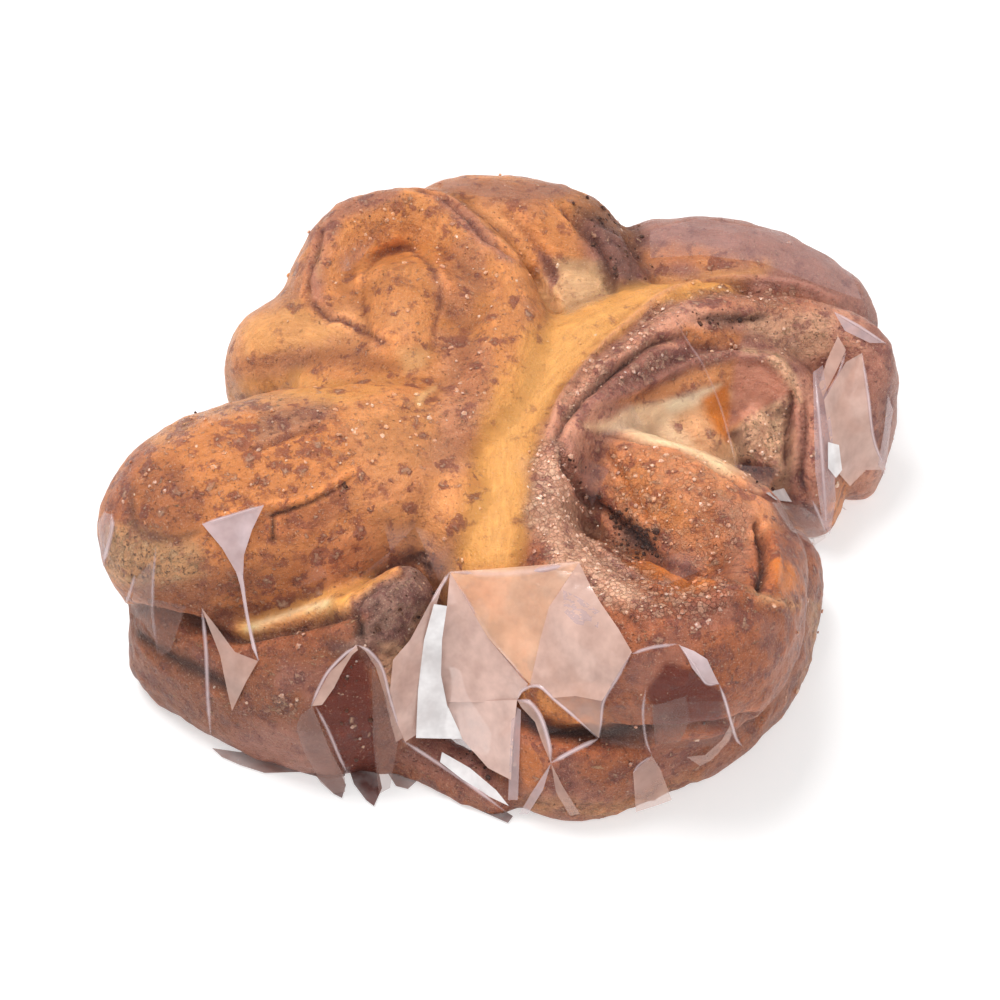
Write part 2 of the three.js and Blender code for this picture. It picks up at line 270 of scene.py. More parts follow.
# ---------------------------------------------------------------- colour, drawn over the photograph's frame
# Name: colour, strength, softness in pixels, and the outline in pixels.
PATCHES = {
    "strip": ("pale_gold", 0.95, 18, [
        (455, 565), (462, 520), (475, 470), (478, 430), (490, 395), (505, 370), (520, 335), (560, 316),
        (600, 298), (650, 283), (700, 274), (760, 273), (700, 284), (650, 303), (610, 334), (580, 367),
        (560, 397), (545, 427), (530, 460), (522, 500), (520, 565)]),
    "strip_light": ("light_gold", 0.7, 12, [
        (482, 555), (490, 480), (500, 430), (520, 385), (550, 345), (600, 312), (640, 300), (600, 340),
        (560, 385), (535, 420), (515, 480), (508, 555)]),
    "strip_foot": ("peach", 0.7, 8, [
        (450, 575), (520, 570), (560, 600), (520, 700), (470, 740), (445, 660)]),
    "strip_drops": ("amber", 0.7, 6, [
        (452, 580), (512, 578), (504, 600), (512, 620), (482, 612), (466, 600)]),
    # The ear's pale floor: pale dough, painted lighter as painted light where the rim shades it.
    "valley": ("cream_and_painted_light", 0.95, 6, [
        (588, 427), (640, 404), (690, 396), (735, 392), (738, 430), (742, 475), (715, 466), (690, 452),
        (650, 440), (600, 433)]),
    "valley_shade": ("bright_tan", 0.8, 6, [
        (620, 402), (650, 388), (690, 371), (735, 362), (738, 385), (700, 392), (650, 402)]),
    "valley_right": ("peach", 0.75, 8, [(672, 420), (700, 402), (735, 420), (742, 470), (700, 452)]),
    "valley_amber": ("amber", 0.95, 6, [(698, 396), (728, 386), (742, 420), (734, 448), (716, 432)]),
    # Painted highlight on the ear's pale floor.
    "valley_painted_sheen": ("painted_sheen", 0.7, 5, [(664, 404), (690, 390), (722, 384), (700, 402), (672, 412)]),
    # Painted reflection of a smooth facet of the film, where the film lies wet on the crust.
    "painted_film_reflection": ("painted_rosy_reflection", 0.9, 4, [
        (735, 362), (765, 362), (785, 380), (792, 393), (770, 402), (742, 420), (728, 430), (733, 398)]),
    "torn_wall": ("sandy", 0.9, 5, [
        (730, 430), (790, 396), (787, 440), (785, 476), (760, 490), (738, 474)]),
    "torn_dark": ("purple_brown", 0.6, 8, [(738, 462), (760, 452), (785, 470), (775, 490), (752, 488)]),
    "ear_right": ("mauve_brown", 0.7, 6, [(795, 380), (822, 360), (835, 430), (828, 520), (795, 500)]),
    "inner_dark": ("purple_brown", 0.95, 3, [
        (572, 414), (600, 384), (625, 366), (650, 346), (690, 346), (735, 350), (740, 358), (690, 367),
        (640, 388), (596, 404), (580, 425)]),
    "rim_slope": ("mauve_brown", 0.85, 5, [
        (548, 428), (562, 400), (585, 370), (615, 340), (650, 308), (672, 302), (680, 332), (650, 340),
        (620, 360), (590, 385), (565, 415)]),
    "rim_groove": ("burnt", 0.25, 5, [
        (554, 440), (572, 404), (600, 378), (628, 358), (655, 338), (700, 335), (660, 346), (625, 366),
        (585, 400), (562, 436)]),
    "orange_layer": ("orange", 0.8, 5, [(684, 328), (720, 328), (745, 333), (735, 347), (690, 345)]),
    "rim_tan": ("sandy", 0.55, 8, [
        (740, 300), (790, 305), (830, 320), (835, 355), (800, 360), (770, 342), (745, 330)]),
    "rim_top": ("red_brown", 0.6, 8, [
        (690, 290), (745, 282), (800, 290), (835, 305), (790, 312), (700, 312)]),
    "burnt_slit": ("burnt", 0.7, 5, [
        (700, 314), (735, 311), (768, 314), (762, 322), (722, 328), (706, 324)]),
    "sandy_edge": ("sandy", 0.85, 4, [
        (742, 345), (778, 352), (796, 375), (800, 402), (792, 395), (782, 376), (762, 358), (740, 354)]),
    "ear_foot": ("purple_brown", 0.9, 5, [
        (768, 496), (800, 500), (825, 514), (830, 540), (812, 556), (786, 534)]),
    "rim_wall": ("purple_brown", 0.8, 8, [(860, 310), (905, 330), (905, 450), (880, 470), (862, 380)]),
    "leaf_light": ("orange", 0.8, 14, [
        (612, 450), (650, 470), (700, 520), (690, 545), (650, 520), (622, 490)]),
    "leaf_dark": ("red_brown", 0.5, 12, [(700, 470), (745, 520), (745, 575), (705, 560), (690, 510)]),
    "leaf_tip": ("mauve_brown", 0.5, 8, [(720, 500), (752, 510), (750, 560), (738, 590), (728, 540)]),
    "pocket_dark": ("purple_brown", 0.6, 8, [
        (552, 438), (575, 440), (592, 480), (605, 510), (650, 545), (650, 556), (610, 540), (575, 500)]),
    "burnt_crumbs": ("burnt", 0.8, 7, [
        (612, 518), (630, 518), (650, 532), (655, 548), (638, 554), (618, 540)]),
    "amber_crescent": ("amber", 0.6, 7, [
        (632, 550), (660, 560), (700, 584), (716, 592), (680, 594), (648, 580), (626, 562)]),
    "slit_yellow": ("amber", 0.7, 7, [(770, 560), (794, 566), (800, 590), (776, 598)]),
    "slit_dark": ("burnt", 0.9, 3, [
        (755, 520), (762, 545), (766, 570), (762, 594), (754, 592), (758, 560)]),
    # The sugared slope of the front wrap, painted lighter as painted light.
    "wrap_slope": ("mauve_and_painted_light", 0.8, 12, [
        (530, 460), (555, 450), (575, 500), (610, 560), (650, 600), (600, 600), (550, 560), (528, 520)]),
    "wrap_sandy": ("olive", 0.7, 5, [(740, 588), (800, 604), (792, 612), (760, 604)]),
    "wrap_orange": ("red_brown", 0.5, 14, [(620, 610), (680, 612), (700, 640), (640, 640)]),
    "wrap_right": ("olive", 0.6, 6, [
        (812, 600), (826, 600), (822, 640), (806, 690), (798, 690), (812, 640)]),
    "window_left": ("orange", 0.85, 3, [
        (134, 484), (136, 525), (150, 536), (163, 539), (199, 534), (204, 522), (264, 506), (296, 506),
        (332, 489), (359, 470), (350, 440), (260, 415), (190, 410), (150, 450)]),
    "window_dark": ("brown", 0.6, 10, [
        (134, 484), (150, 455), (180, 460), (205, 500), (200, 530), (152, 536), (137, 526)]),
    "lobe_end": ("red_brown", 0.8, 6, [
        (97, 540), (103, 508), (112, 485), (128, 458), (146, 440), (152, 450), (137, 482), (135, 526),
        (122, 562), (104, 580)]),
    "lobe_back": ("olive", 0.5, 8, [
        (150, 440), (190, 402), (235, 388), (300, 388), (345, 398), (300, 406), (240, 414), (200, 418),
        (166, 444)]),
    "window_low": ("roll_brown", 0.3, 10, [
        (136, 486), (160, 462), (200, 490), (215, 515), (200, 530), (163, 537), (138, 524)]),
    "olive_flank": ("olive", 0.9, 8, [
        (104, 520), (134, 528), (165, 542), (200, 538), (205, 575), (170, 590), (130, 590), (108, 570)]),
    "flank_dark": ("roll_brown", 0.7, 8, [(120, 585), (200, 580), (260, 570), (250, 620), (150, 612)]),
    "flank_rough": ("red_brown", 0.6, 6, [(250, 518), (335, 496), (355, 490), (310, 540), (255, 545)]),
    "flank_orange": ("red_orange", 0.6, 14, [(300, 560), (360, 520), (430, 545), (400, 570), (330, 598)]),
    "core_orange": ("bright_tan", 0.9, 18, [(360, 500), (400, 470), (455, 465), (455, 560), (400, 555)]),
    "core_red": ("red_orange", 0.5, 12, [(362, 462), (420, 450), (440, 468), (400, 500), (365, 510)]),
    "core_brown": ("red_brown", 0.35, 10, [(400, 430), (470, 405), (480, 440), (440, 455)]),
    "core_light": ("bright_tan", 0.8, 14, [
        (345, 400), (420, 400), (445, 425), (440, 470), (380, 482), (352, 445)]),
    "core_mottle": ("mauve_brown", 0.45, 12, [
        (440, 330), (490, 340), (486, 400), (462, 470), (425, 470), (440, 400)]),
    "core_back": ("red_brown", 0.5, 14, [(455, 340), (490, 350), (490, 400), (455, 400)]),
    "lobe_fold": ("grey_brown", 0.6, 6, [(260, 415), (330, 400), (335, 418), (290, 432), (255, 448)]),
    "peach_bottom": ("pale_gold", 0.6, 8, [
        (245, 380), (300, 372), (350, 385), (400, 385), (345, 400), (250, 392)]),
    "curl_amber": ("amber", 0.35, 12, [
        (365, 250), (400, 235), (450, 255), (455, 290), (430, 262), (385, 262)]),
    "curl_light": ("peach", 0.5, 12, [(375, 320), (400, 300), (420, 330), (430, 375), (400, 350)]),
    "curl_crumb": ("cream", 0.5, 8, [(400, 350), (428, 352), (425, 368), (408, 372)]),
    "pale_crumb": ("cream", 0.9, 3, [(416, 400), (438, 384), (434, 394), (420, 404)]),
    "curl_rim_left": ("purple_brown", 0.75, 7, [
        (306, 300), (301, 262), (312, 228), (340, 205), (400, 186), (400, 198), (345, 220), (326, 250),
        (325, 290), (334, 312)]),
    "small_lobe_light": ("light_gold", 0.5, 9, [
        (240, 330), (290, 300), (340, 330), (300, 350), (250, 352)]),
    "small_lobe_brown": ("brown", 0.5, 5, [
        (232, 358), (300, 352), (360, 348), (400, 370), (350, 368), (300, 364), (236, 370)]),
    "curl_rim_pale": ("olive", 0.8, 3, [(312, 250), (320, 245), (320, 275), (316, 280)]),
    "curl_rim_back": ("purple_brown", 0.8, 6, [
        (410, 186), (445, 192), (475, 212), (500, 245), (520, 262), (500, 258), (470, 232), (440, 205)]),
    "back_orange": ("bright_tan", 0.8, 8, [(470, 195), (510, 200), (540, 240), (520, 250), (490, 225)]),
    "back_haze": ("hazy_mauve", 0.6, 8, [(415, 178), (560, 178), (575, 195), (500, 198), (450, 195)]),
    "pale_window": ("dull_cream", 0.8, 4, [(553, 258), (596, 260), (616, 290), (566, 314), (552, 288)]),
    "dark_spot": ("purple_brown", 0.85, 3, [(535, 248), (550, 256), (558, 275), (550, 292), (540, 270)]),
    "burnt_lump": ("burnt", 0.55, 8, [
        (558, 196), (600, 192), (640, 225), (652, 258), (640, 284), (614, 290), (598, 258), (580, 225)]),
    "back_right_amber": ("orange", 0.6, 8, [(640, 250), (700, 246), (760, 262), (700, 268), (645, 264)]),
    "burnt_end": ("grey_brown", 0.95, 4, [
        (354, 608), (365, 595), (395, 575), (405, 560), (425, 555), (434, 565), (428, 600), (415, 625),
        (396, 642), (370, 640)]),
    "seam_above": ("orange", 0.6, 10, [
        (215, 600), (300, 585), (395, 560), (400, 575), (345, 596), (240, 620)]),
    "seam_glow": ("pale_gold", 0.85, 7, [
        (232, 630), (260, 616), (300, 600), (345, 586), (380, 574), (396, 566), (372, 590), (340, 602),
        (290, 612)]),
    "roll_under": ("roll_brown", 0.85, 5, [
        (240, 640), (300, 625), (352, 608), (372, 615), (350, 640), (260, 660)]),
    "roll_haze": ("hazy_mauve", 0.7, 10, [
        (210, 745), (230, 728), (290, 724), (330, 735), (345, 765), (335, 800), (260, 778), (215, 760)]),
    "roll_left": ("roll_brown", 0.7, 8, [
        (130, 640), (170, 668), (232, 700), (235, 740), (200, 742), (150, 700)]),
    "torn_end": ("sandy", 0.7, 6, [(372, 640), (400, 640), (430, 605), (425, 700), (405, 745), (386, 690)]),
    "roll_light": ("red_brown", 0.25, 14, [
        (170, 600), (250, 640), (340, 625), (330, 660), (240, 660), (170, 640)]),
    # Dark amber crust with painted shade under the film's tent.
    "tent": ("deep_amber_and_shade", 0.95, 3, [
        (358, 646), (338, 668), (316, 706), (330, 740), (346, 790), (374, 800), (378, 740), (372, 680)]),
    "foot_amber": ("amber", 0.5, 8, [(520, 745), (548, 750), (545, 790), (520, 790)]),
    "foot_rough": ("olive", 0.5, 8, [
        (525, 800), (620, 802), (700, 775), (705, 790), (620, 818), (530, 816)]),
    # Dark amber crust with painted shade under the film's right tent.
    "right_tent": ("deep_amber_and_shade", 0.95, 4, [
        (664, 662), (690, 668), (722, 690), (728, 735), (652, 740), (648, 690)]),
}
# How uneven a patch's edge is, as a share of its softness, and the patches that are wet or torn.
PATCH_UNEVEN = 0.6
WET_PATCHES = ("window_left", "tent", "right_tent", "painted_film_reflection", "pale_window")
TORN_PATCHES = ("torn_wall", "torn_end", "burnt_end", "burnt_lump", "flank_rough", "foot_rough", "wrap_sandy")
# Name: colour, strength, half width in millimetres, and the path in pixels.
STRIPES = {
    "pale_seam": ("pale_gold", 0.95, 1.3, [(236, 632), (250, 624), (290, 611), (335, 603), (352, 598)]),
    "ear_groove": ("burnt", 0.6, 0.7, [
        (556, 442), (562, 420), (580, 398), (600, 380), (622, 364), (645, 345), (668, 337)]),
    "window_rim": ("burnt", 0.6, 0.7, [
        (134, 484), (134, 506), (137, 526), (150, 536), (163, 539), (185, 536), (203, 530)]),
    # Painted highlight along the pale seam's smooth lip.
    "seam_painted_sheen": ("painted_sheen", 0.5, 0.6, [(240, 628), (290, 612), (335, 603)]),
    "lobe_crease": ("burnt", 0.6, 0.8, [
        (122, 614), (150, 614), (200, 625), (240, 638), (300, 625), (345, 616)]),
    "lobe_crack": ("burnt", 0.7, 0.35, [(275, 515), (290, 509), (310, 503), (330, 492)]),
    "thin_crack": ("burnt", 0.8, 0.35, [(272, 512), (273, 530), (274, 543)]),
    "spiral": ("brown", 0.4, 0.4, [(368, 268), (385, 252), (405, 248), (425, 258)]),
    "spiral_dark": ("purple_brown", 0.6, 0.4, [(405, 248), (425, 258), (436, 275), (440, 300), (436, 325)]),
    "curl_crease": ("purple_brown", 0.8, 0.6, [
        (308, 300), (318, 308), (330, 316), (345, 318), (370, 335), (388, 344)]),
    # Painted shadow along the front crease and along the low roll's band.
    "front_crease": ("painted_crease_shadow", 0.95, 1.1, [
        (510, 706), (525, 722), (550, 733), (600, 738), (660, 737), (720, 730), (755, 720)]),
    "roll_band": ("painted_crease_shadow", 0.85, 1.3, [
        (128, 630), (150, 645), (172, 660), (200, 674), (228, 690), (240, 694)]),
    # Painted shade in the crease of the torn wall.
    "torn_crease": ("deep_amber_and_shade", 0.8, 0.5, [(790, 398), (787, 440), (784, 470)]),
    "outer_crease": ("purple_brown", 0.7, 0.8, [(800, 410), (804, 450), (800, 490)]),
    "lump_crack": ("burnt", 0.8, 0.8, [(352, 612), (360, 624), (362, 640)]),
    "rim_edge": ("hazy_mauve", 0.6, 0.5, [
        (548, 428), (562, 398), (583, 370), (612, 336), (650, 304), (690, 285), (740, 277), (800, 284)]),
    "leaf_line": ("amber", 0.5, 0.6, [(605, 450), (620, 470), (635, 500), (650, 520)]),
}

# Sugar crystals and burnt crumbs for each square centimetre, and the outline in pixels.
SUGAR_AREAS = {
    "wrap_slope": (55, [
        (530, 440), (560, 430), (600, 520), (660, 585), (740, 598), (700, 625), (620, 615), (560, 580),
        (525, 520)]),
    "rim_slope": (40, [
        (548, 428), (585, 370), (650, 308), (700, 284), (800, 285), (790, 305), (690, 300), (650, 338),
        (590, 385), (556, 440)]),
    "leaf": (32, [
        (600, 440), (650, 445), (690, 455), (750, 490), (750, 560), (700, 575), (640, 530), (610, 500)]),
    "inner_layer": (34, [(600, 385), (650, 350), (740, 350), (735, 362), (680, 368), (600, 402)]),
    "core_band": (18, [
        (340, 400), (400, 395), (440, 400), (455, 330), (450, 280), (480, 260), (500, 330), (485, 420),
        (440, 450), (360, 475), (300, 470)]),
    "lobe_top": (12, [(130, 480), (190, 410), (330, 400), (360, 470), (300, 500), (200, 530), (140, 530)]),
    "curl": (16, [(330, 220), (400, 195), (450, 210), (520, 290), (450, 290), (400, 240), (340, 290)]),
    "roll_crystals": (45, [(272, 696), (292, 692), (306, 704), (296, 718), (274, 716)]),
    "torn_wall": (20, [(735, 430), (785, 400), (780, 480), (745, 480)]),
    "tent": (9, [(328, 692), (358, 655), (372, 700), (374, 765), (345, 775)]),
    "crescent": (55, [(600, 530), (680, 585), (740, 580), (760, 600), (660, 605), (600, 570)]),
}
SUGAR_ELSEWHERE = 2
CRUMB_AREAS = {
    "pocket": (300, [(610, 512), (630, 516), (651, 530), (656, 550), (634, 556), (616, 540)]),
    "pocket_edge": (25, [(556, 440), (575, 440), (605, 505), (600, 530), (570, 480)]),
    "slit": (60, [(690, 314), (765, 312), (762, 326), (692, 328)]),
    "back_lump": (22, [(566, 195), (600, 192), (640, 228), (650, 260), (636, 286), (612, 288), (598, 255)]),
    "burnt_end": (14, [(356, 608), (400, 572), (432, 560), (428, 600), (398, 640), (370, 640)]),
    "lobe_crack": (24, [(270, 512), (330, 492), (355, 478), (340, 500), (290, 520)]),
    "tent": (25, [(358, 652), (336, 690), (350, 760), (372, 780), (372, 680)]),
    "front_flap": (60, [(430, 738), (470, 750), (512, 806), (500, 812), (455, 775)]),
    "torn_wall": (40, [(742, 460), (785, 465), (778, 488), (750, 486)]),
}
CRUMBS_ELSEWHERE = 0.04
# The crust is wholly sugared at this many crystals, inside an edge this soft and uneven in pixels.
FULL_SUGAR = 60
SUGAR_EDGE = (7, 4)
# The softness in pixels of the grains' areas, and the height in millimetres under which there are none.
GRAIN_EDGE = 8
BARE_FOOT = 4
# Smallest and largest size in millimetres, then how sunk and how flat a grain is.
SUGAR_GRAIN = (0.16, 0.52, 0.6, 0.35)
CRUMB_GRAIN = (0.15, 0.55, 0.5, 0.3)
# How uneven a grain is, how much it is stretched, and how far it is moved in millimetres.
GRAIN_BUMPS = 0.22
GRAIN_STRETCH = (0.75, 1.2)
GRAIN_JITTER = 0.3
# The colour of the whitest crystals (sRGB, 0-255), and how the shares of that white are spread.
SUGAR_WHITE = (224, 180, 148)
WHITENESS = (1.2, 3.6)

# ---------------------------------------------------------------- the film's facets and creases
# The film's colours as seen where it turns milky (sRGB, 0-255).
TINTS = {
    "lilac": (214, 190, 192),
    "pink": (216, 178, 164),
    "peach": (255, 208, 178),
    "beige": (220, 184, 172),
    "grey": (176, 148, 140),
    "mauve": (146, 108, 98),
    # shade: painted shadow on the film.
    "shade": (118, 82, 78),
    # glare: painted glare, milky white in place of the film's reflection of the lamps.
    "glare": (244, 240, 240),
}
# Name: tint, how milky it is from 0 to 1, and the outline in pixels. Their milkiness is partly the film's own
# haze and partly a painted reflection of the lamps; glare facets are painted glare.
FACETS = {
    "front_left": ("beige", 0.86, [
        (450, 572), (466, 600), (488, 638), (520, 676), (528, 684), (517, 700), (480, 702), (446, 702),
        (441, 675), (442, 640), (447, 606)]),
    "front_left_low": ("beige", 0.86, [
        (446, 702), (517, 700), (513, 740), (511, 780), (488, 768), (463, 740)]),
    "front_roll_side": ("beige", 0.82, [
        (446, 574), (436, 606), (424, 640), (418, 690), (416, 735), (405, 742), (398, 725), (390, 690),
        (393, 660), (410, 640), (430, 603)]),
    "front_window": ("peach", 0.5, [
        (450, 572), (579, 562), (560, 590), (549, 607), (540, 640), (530, 684), (488, 638), (466, 600)]),
    "front_pink": ("pink", 0.86, [
        (579, 562), (590, 585), (602, 605), (618, 628), (632, 652), (602, 701), (575, 696), (552, 698),
        (540, 688), (530, 684), (536, 658), (540, 640), (549, 607)]),
    "front_tip": ("pink", 0.5, [(602, 701), (599, 738), (575, 718), (552, 698), (575, 696)]),
    # Painted glare on the film, here and in the three glare facets below.
    "front_glare": ("glare", 0.95, [
        (434, 604), (447, 606), (442, 640), (441, 675), (447, 705), (463, 739), (416, 738), (418, 690),
        (424, 640)]),
    "lip_glare": ("glare", 0.85, [
        (442, 752), (470, 768), (496, 790), (509, 806), (490, 797), (462, 779), (440, 762)]),
    "ear_glare": ("glare", 0.8, [(828, 442), (839, 445), (842, 470), (836, 478), (828, 468)]),
    "foot_glare": ("glare", 0.8, [(766, 493), (784, 488), (792, 502), (776, 500)]),
    # Painted glints on the film's crinkled facet.
    "front_bright": ("lilac", 0.45, [
        (563, 590), (580, 598), (600, 612), (598, 628), (576, 624), (564, 612)]),
    "arch_band": ("pink", 0.6, [
        (517, 700), (530, 703), (542, 718), (550, 745), (551, 763), (543, 745), (535, 722), (522, 708)]),
    "low_left_strip": ("lilac", 0.45, [(512, 704), (521, 710), (518, 800), (508, 800)]),
    "low_fold_left": ("lilac", 0.5, [(551, 763), (543, 790), (528, 814), (519, 814), (532, 792)]),
    "low_fold_right": ("pink", 0.45, [(551, 763), (562, 785), (580, 814), (570, 816), (556, 792)]),
    "tent_haze": ("grey", 0.05, [(604, 703), (634, 656), (662, 650), (646, 690), (644, 735), (602, 735)]),
    "white_tab": ("lilac", 0.75, [
        (679, 645), (694, 651), (707, 659), (713, 672), (719, 684), (705, 684), (692, 668), (686, 655)]),
    "small_low": ("pink", 0.45, [(652, 756), (633, 772), (636, 812), (655, 806), (672, 800), (660, 768)]),
    "small_right": ("pink", 0.4, [
        (687, 757), (705, 755), (722, 740), (736, 714), (730, 740), (712, 760), (700, 766)]),
    "grey_right": ("mauve", 0.3, [(652, 706), (686, 696), (690, 720), (680, 742), (655, 745)]),
    "crease_haze": ("grey", 0.08, [(602, 706), (740, 700), (756, 720), (735, 745), (640, 750), (600, 742)]),
    "hourglass": ("lilac", 0.82, [
        (202, 524), (232, 515), (264, 505), (252, 530), (244, 555), (243, 578), (246, 600), (252, 635),
        (259, 661), (252, 648), (245, 610), (240, 585), (236, 572), (222, 548)]),
    "left_triangle": ("pink", 0.62, [
        (201, 607), (215, 625), (235, 652), (258, 661), (246, 682), (232, 711), (227, 690), (220, 655)]),
    "left_veil": ("mauve", 0.35, [(147, 598), (186, 606), (170, 652), (160, 656)]),
    "left_side": ("grey", 0.3, [(135, 580), (152, 560), (153, 600), (155, 640), (142, 622), (130, 612)]),
    "left_edge": ("lilac", 0.3, [(98, 522), (104, 512), (112, 515), (108, 545), (101, 562)]),
    "tent_left": ("pink", 0.75, [
        (356, 644), (345, 658), (330, 672), (320, 690), (312, 706), (322, 705), (334, 688), (343, 670),
        (352, 655), (358, 650)]),
    "tent_right": ("pink", 0.5, [
        (358, 645), (366, 648), (378, 660), (386, 675), (391, 695), (396, 715), (403, 738), (396, 742),
        (390, 720), (383, 690), (376, 668), (366, 652)]),
    "tent_lens": ("mauve", 0.55, [
        (312, 706), (300, 716), (296, 728), (304, 752), (320, 782), (335, 795), (345, 792), (345, 778),
        (330, 750), (318, 720)]),
    "tent_side": ("mauve", 0.35, [(372, 664), (384, 692), (398, 742), (390, 788), (379, 794), (373, 740)]),
    "right_upper": ("pink", 0.65, [(838, 336), (846, 350), (836, 372), (823, 397), (819, 385), (827, 360)]),
    "right_big": ("pink", 0.75, [
        (862, 353), (868, 395), (874, 440), (886, 470), (866, 470), (850, 486), (836, 470), (830, 440),
        (824, 400), (846, 362)]),
    "right_strip": ("lilac", 0.4, [
        (813, 372), (823, 365), (832, 430), (836, 500), (830, 535), (822, 520), (815, 470)]),
    "right_wedge": ("grey", 0.3, [(772, 502), (800, 505), (822, 520), (826, 538), (814, 546), (790, 530)]),
    "right_streak": ("lilac", 0.5, [(834, 312), (860, 325), (886, 343), (870, 343), (845, 331)]),
    "right_flap": ("lilac", 0.4, [(888, 395), (893, 410), (888, 450), (885, 475), (878, 465), (884, 430)]),
    "back_veil": ("mauve", 0.2, [
        (405, 183), (420, 178), (558, 178), (572, 190), (560, 200), (500, 198), (450, 193)]),
    "back_right_veil": ("lilac", 0.12, [
        (650, 230), (700, 218), (780, 232), (850, 270), (862, 300), (820, 285), (760, 262), (700, 255),
        (650, 258)]),
}
# The film's hem on the table, in the same form; its dark mauve and shade tints are painted shadow on the film
# where it lies on the table.
HEM = {
    "left": ("mauve", 0.85, [
        (212, 748), (240, 752), (300, 752), (345, 760), (345, 776), (330, 780), (300, 772), (265, 773),
        (240, 765), (222, 757)]),
    "lens_end": ("shade", 0.9, [
        (296, 745), (320, 740), (335, 760), (346, 785), (342, 798), (334, 794), (318, 778), (302, 762)]),
    "tent_end": ("shade", 0.95, [(346, 760), (376, 758), (382, 788), (374, 806), (366, 800), (354, 784)]),
    "side_end": ("mauve", 0.85, [(386, 770), (392, 745), (418, 760), (420, 778), (408, 789), (396, 786)]),
    "flap": ("shade", 0.95, [
        (402, 740), (420, 752), (450, 775), (480, 795), (513, 816), (508, 823), (470, 806), (430, 778)]),
}
# Name: how milky, half width in millimetres, and the path in pixels.
CREASES = {
    "front_top": (0.95, 0.55, [(450, 572), (500, 574), (540, 570), (579, 562)]),
    "front_left": (0.8, 0.3, [(450, 572), (440, 588), (431, 603)]),
    "front_diagonal": (0.5, 0.35, [(452, 576), (468, 602), (490, 638), (512, 664), (528, 684)]),
    "arch": (0.95, 0.3, [
        (517, 700), (522, 691), (532, 686), (542, 688), (555, 700), (576, 718), (598, 738)]),
    "arch_low": (0.95, 0.4, [(517, 700), (530, 703), (541, 718), (549, 744), (551, 763)]),
    "low_v": (0.95, 0.4, [(598, 739), (575, 750), (551, 763)]),
    "pink_right": (0.8, 0.3, [(632, 652), (616, 680), (604, 700), (601, 720), (599, 738)]),
    "tent_top": (0.85, 0.3, [(632, 654), (650, 648), (677, 644)]),
    "tab": (0.7, 0.25, [(679, 645), (695, 666), (706, 683), (719, 684)]),
    "tab_down": (0.9, 0.28, [(719, 684), (725, 700), (730, 718), (736, 738), (742, 746)]),
    "dark_curve": (0.5, 0.25, [(646, 688), (643, 712), (646, 740), (652, 756)]),
    "small_low": (0.7, 0.25, [(652, 756), (640, 764), (633, 773)]),
    "left_line": (0.75, 0.35, [(202, 608), (206, 650), (208, 700), (212, 748)]),
    "left_edge": (0.85, 0.4, [(112, 514), (112, 528), (108, 546), (104, 560), (103, 576)]),
    "left_low": (0.6, 0.35, [(135, 575), (130, 592), (122, 612)]),
    "left_vertical": (0.45, 0.3, [(156, 546), (153, 580), (153, 615), (158, 654)]),
    "hourglass_top": (0.9, 0.25, [(202, 524), (232, 515), (264, 505)]),
    "hourglass_low": (0.9, 0.3, [(242, 570), (245, 605), (252, 638), (258, 661)]),
    "tent_left": (0.9, 0.3, [(358, 645), (344, 655), (328, 672), (318, 690), (311, 707)]),
    "tent_right": (0.9, 0.3, [(358, 645), (370, 652), (382, 668), (390, 698), (402, 738)]),
    "tent_low": (0.7, 0.3, [(316, 707), (328, 730), (340, 758), (350, 778)]),
    "flap": (0.8, 0.35, [(402, 740), (430, 758), (470, 785), (510, 815)]),
    "right_edge": (0.8, 0.3, [(862, 353), (868, 395), (874, 440), (886, 470)]),
    "right_fold": (0.5, 0.25, [(846, 352), (838, 375), (824, 398)]),
    "right_strip": (0.8, 0.35, [(815, 372), (820, 430), (824, 490), (827, 535)]),
    "right_low": (0.8, 0.3, [(812, 500), (822, 522), (827, 537)]),
    "ear_crease": (0.25, 0.2, [(673, 317), (690, 345), (703, 365), (718, 400), (730, 440), (737, 470)]),
    "right_streak": (0.7, 0.3, [(834, 312), (858, 326), (886, 344)]),
}
# The taut film, in millimetres: the grid that it is made on, the half width of the gaps that it bridges,
# how far off the bun it lies, and the least distance to the bun that its facets keep.
FILM_VOXEL = 1.0
FILM_REACH = 9.0
FILM_LIFT = 0.3
FILM_GAP = 0.12
# Its facets: how many, into how many parts each side is cut, and the least that a shown one bridges.
FILM_FACETS = 1100
FACET_CUTS = 5
FACET_BRIDGE = 0.35
# How milky it is: the share of milky facets, the ranges of milky and clear ones, and what is left of that
# where drawn facets take their place. Its haze is full at the higher of two heights above the bun.
MILKY_SHARE = 0.3
MILKY, CLEAR = (0.4, 0.7), (0.05, 0.2)
MILK_UNDER_DRAWN = 0.2
HAZE_FROM, HAZE_TO = 0.4, 3
LEAST_HAZE = 0.015
# Its creases: none where two facets' normals agree this much or, by chance, for a share of the others, and
# none that bridges less than this or lies lower than this in millimetres.
FLAT_EDGE = 0.97
NO_CREASE = 0.35
CREASE_BRIDGE = 1.0
CREASE_HEIGHT = 0.6
CREASE_PLACES = 8
CREASE_WIDTHS, CREASE_MILK = (0.18, 0.34), (0.2, 0.5)
# Any crease: its height for its half width, its width at its ends, and its share of haze at its sides.
CREASE_RISE = 0.5
CREASE_END = 0.25
CREASE_EDGE = 0.15
# Drawn facets and creases: a facet's steps in pixels, then distances in millimetres, from the taut film and
# between a glare and its facet, above the taut film for a crease, and above the table.
FACET_STEP = 7.0
FACET_GAP = 0.15
GLARE_LIFT = 0.9
CREASE_LIFT = 0.35
HEM_HEIGHT = 0.25
FILM_FLOOR = 0.1
# Clouds in the haze of taut and drawn facets: its mean and its swing, then size, layers and seed.
TAUT_CLOUDS = (0.8, 0.4, 5, 1, 21)
DRAWN_CLOUDS = (0.95, 0.12, 9, 2, 31)

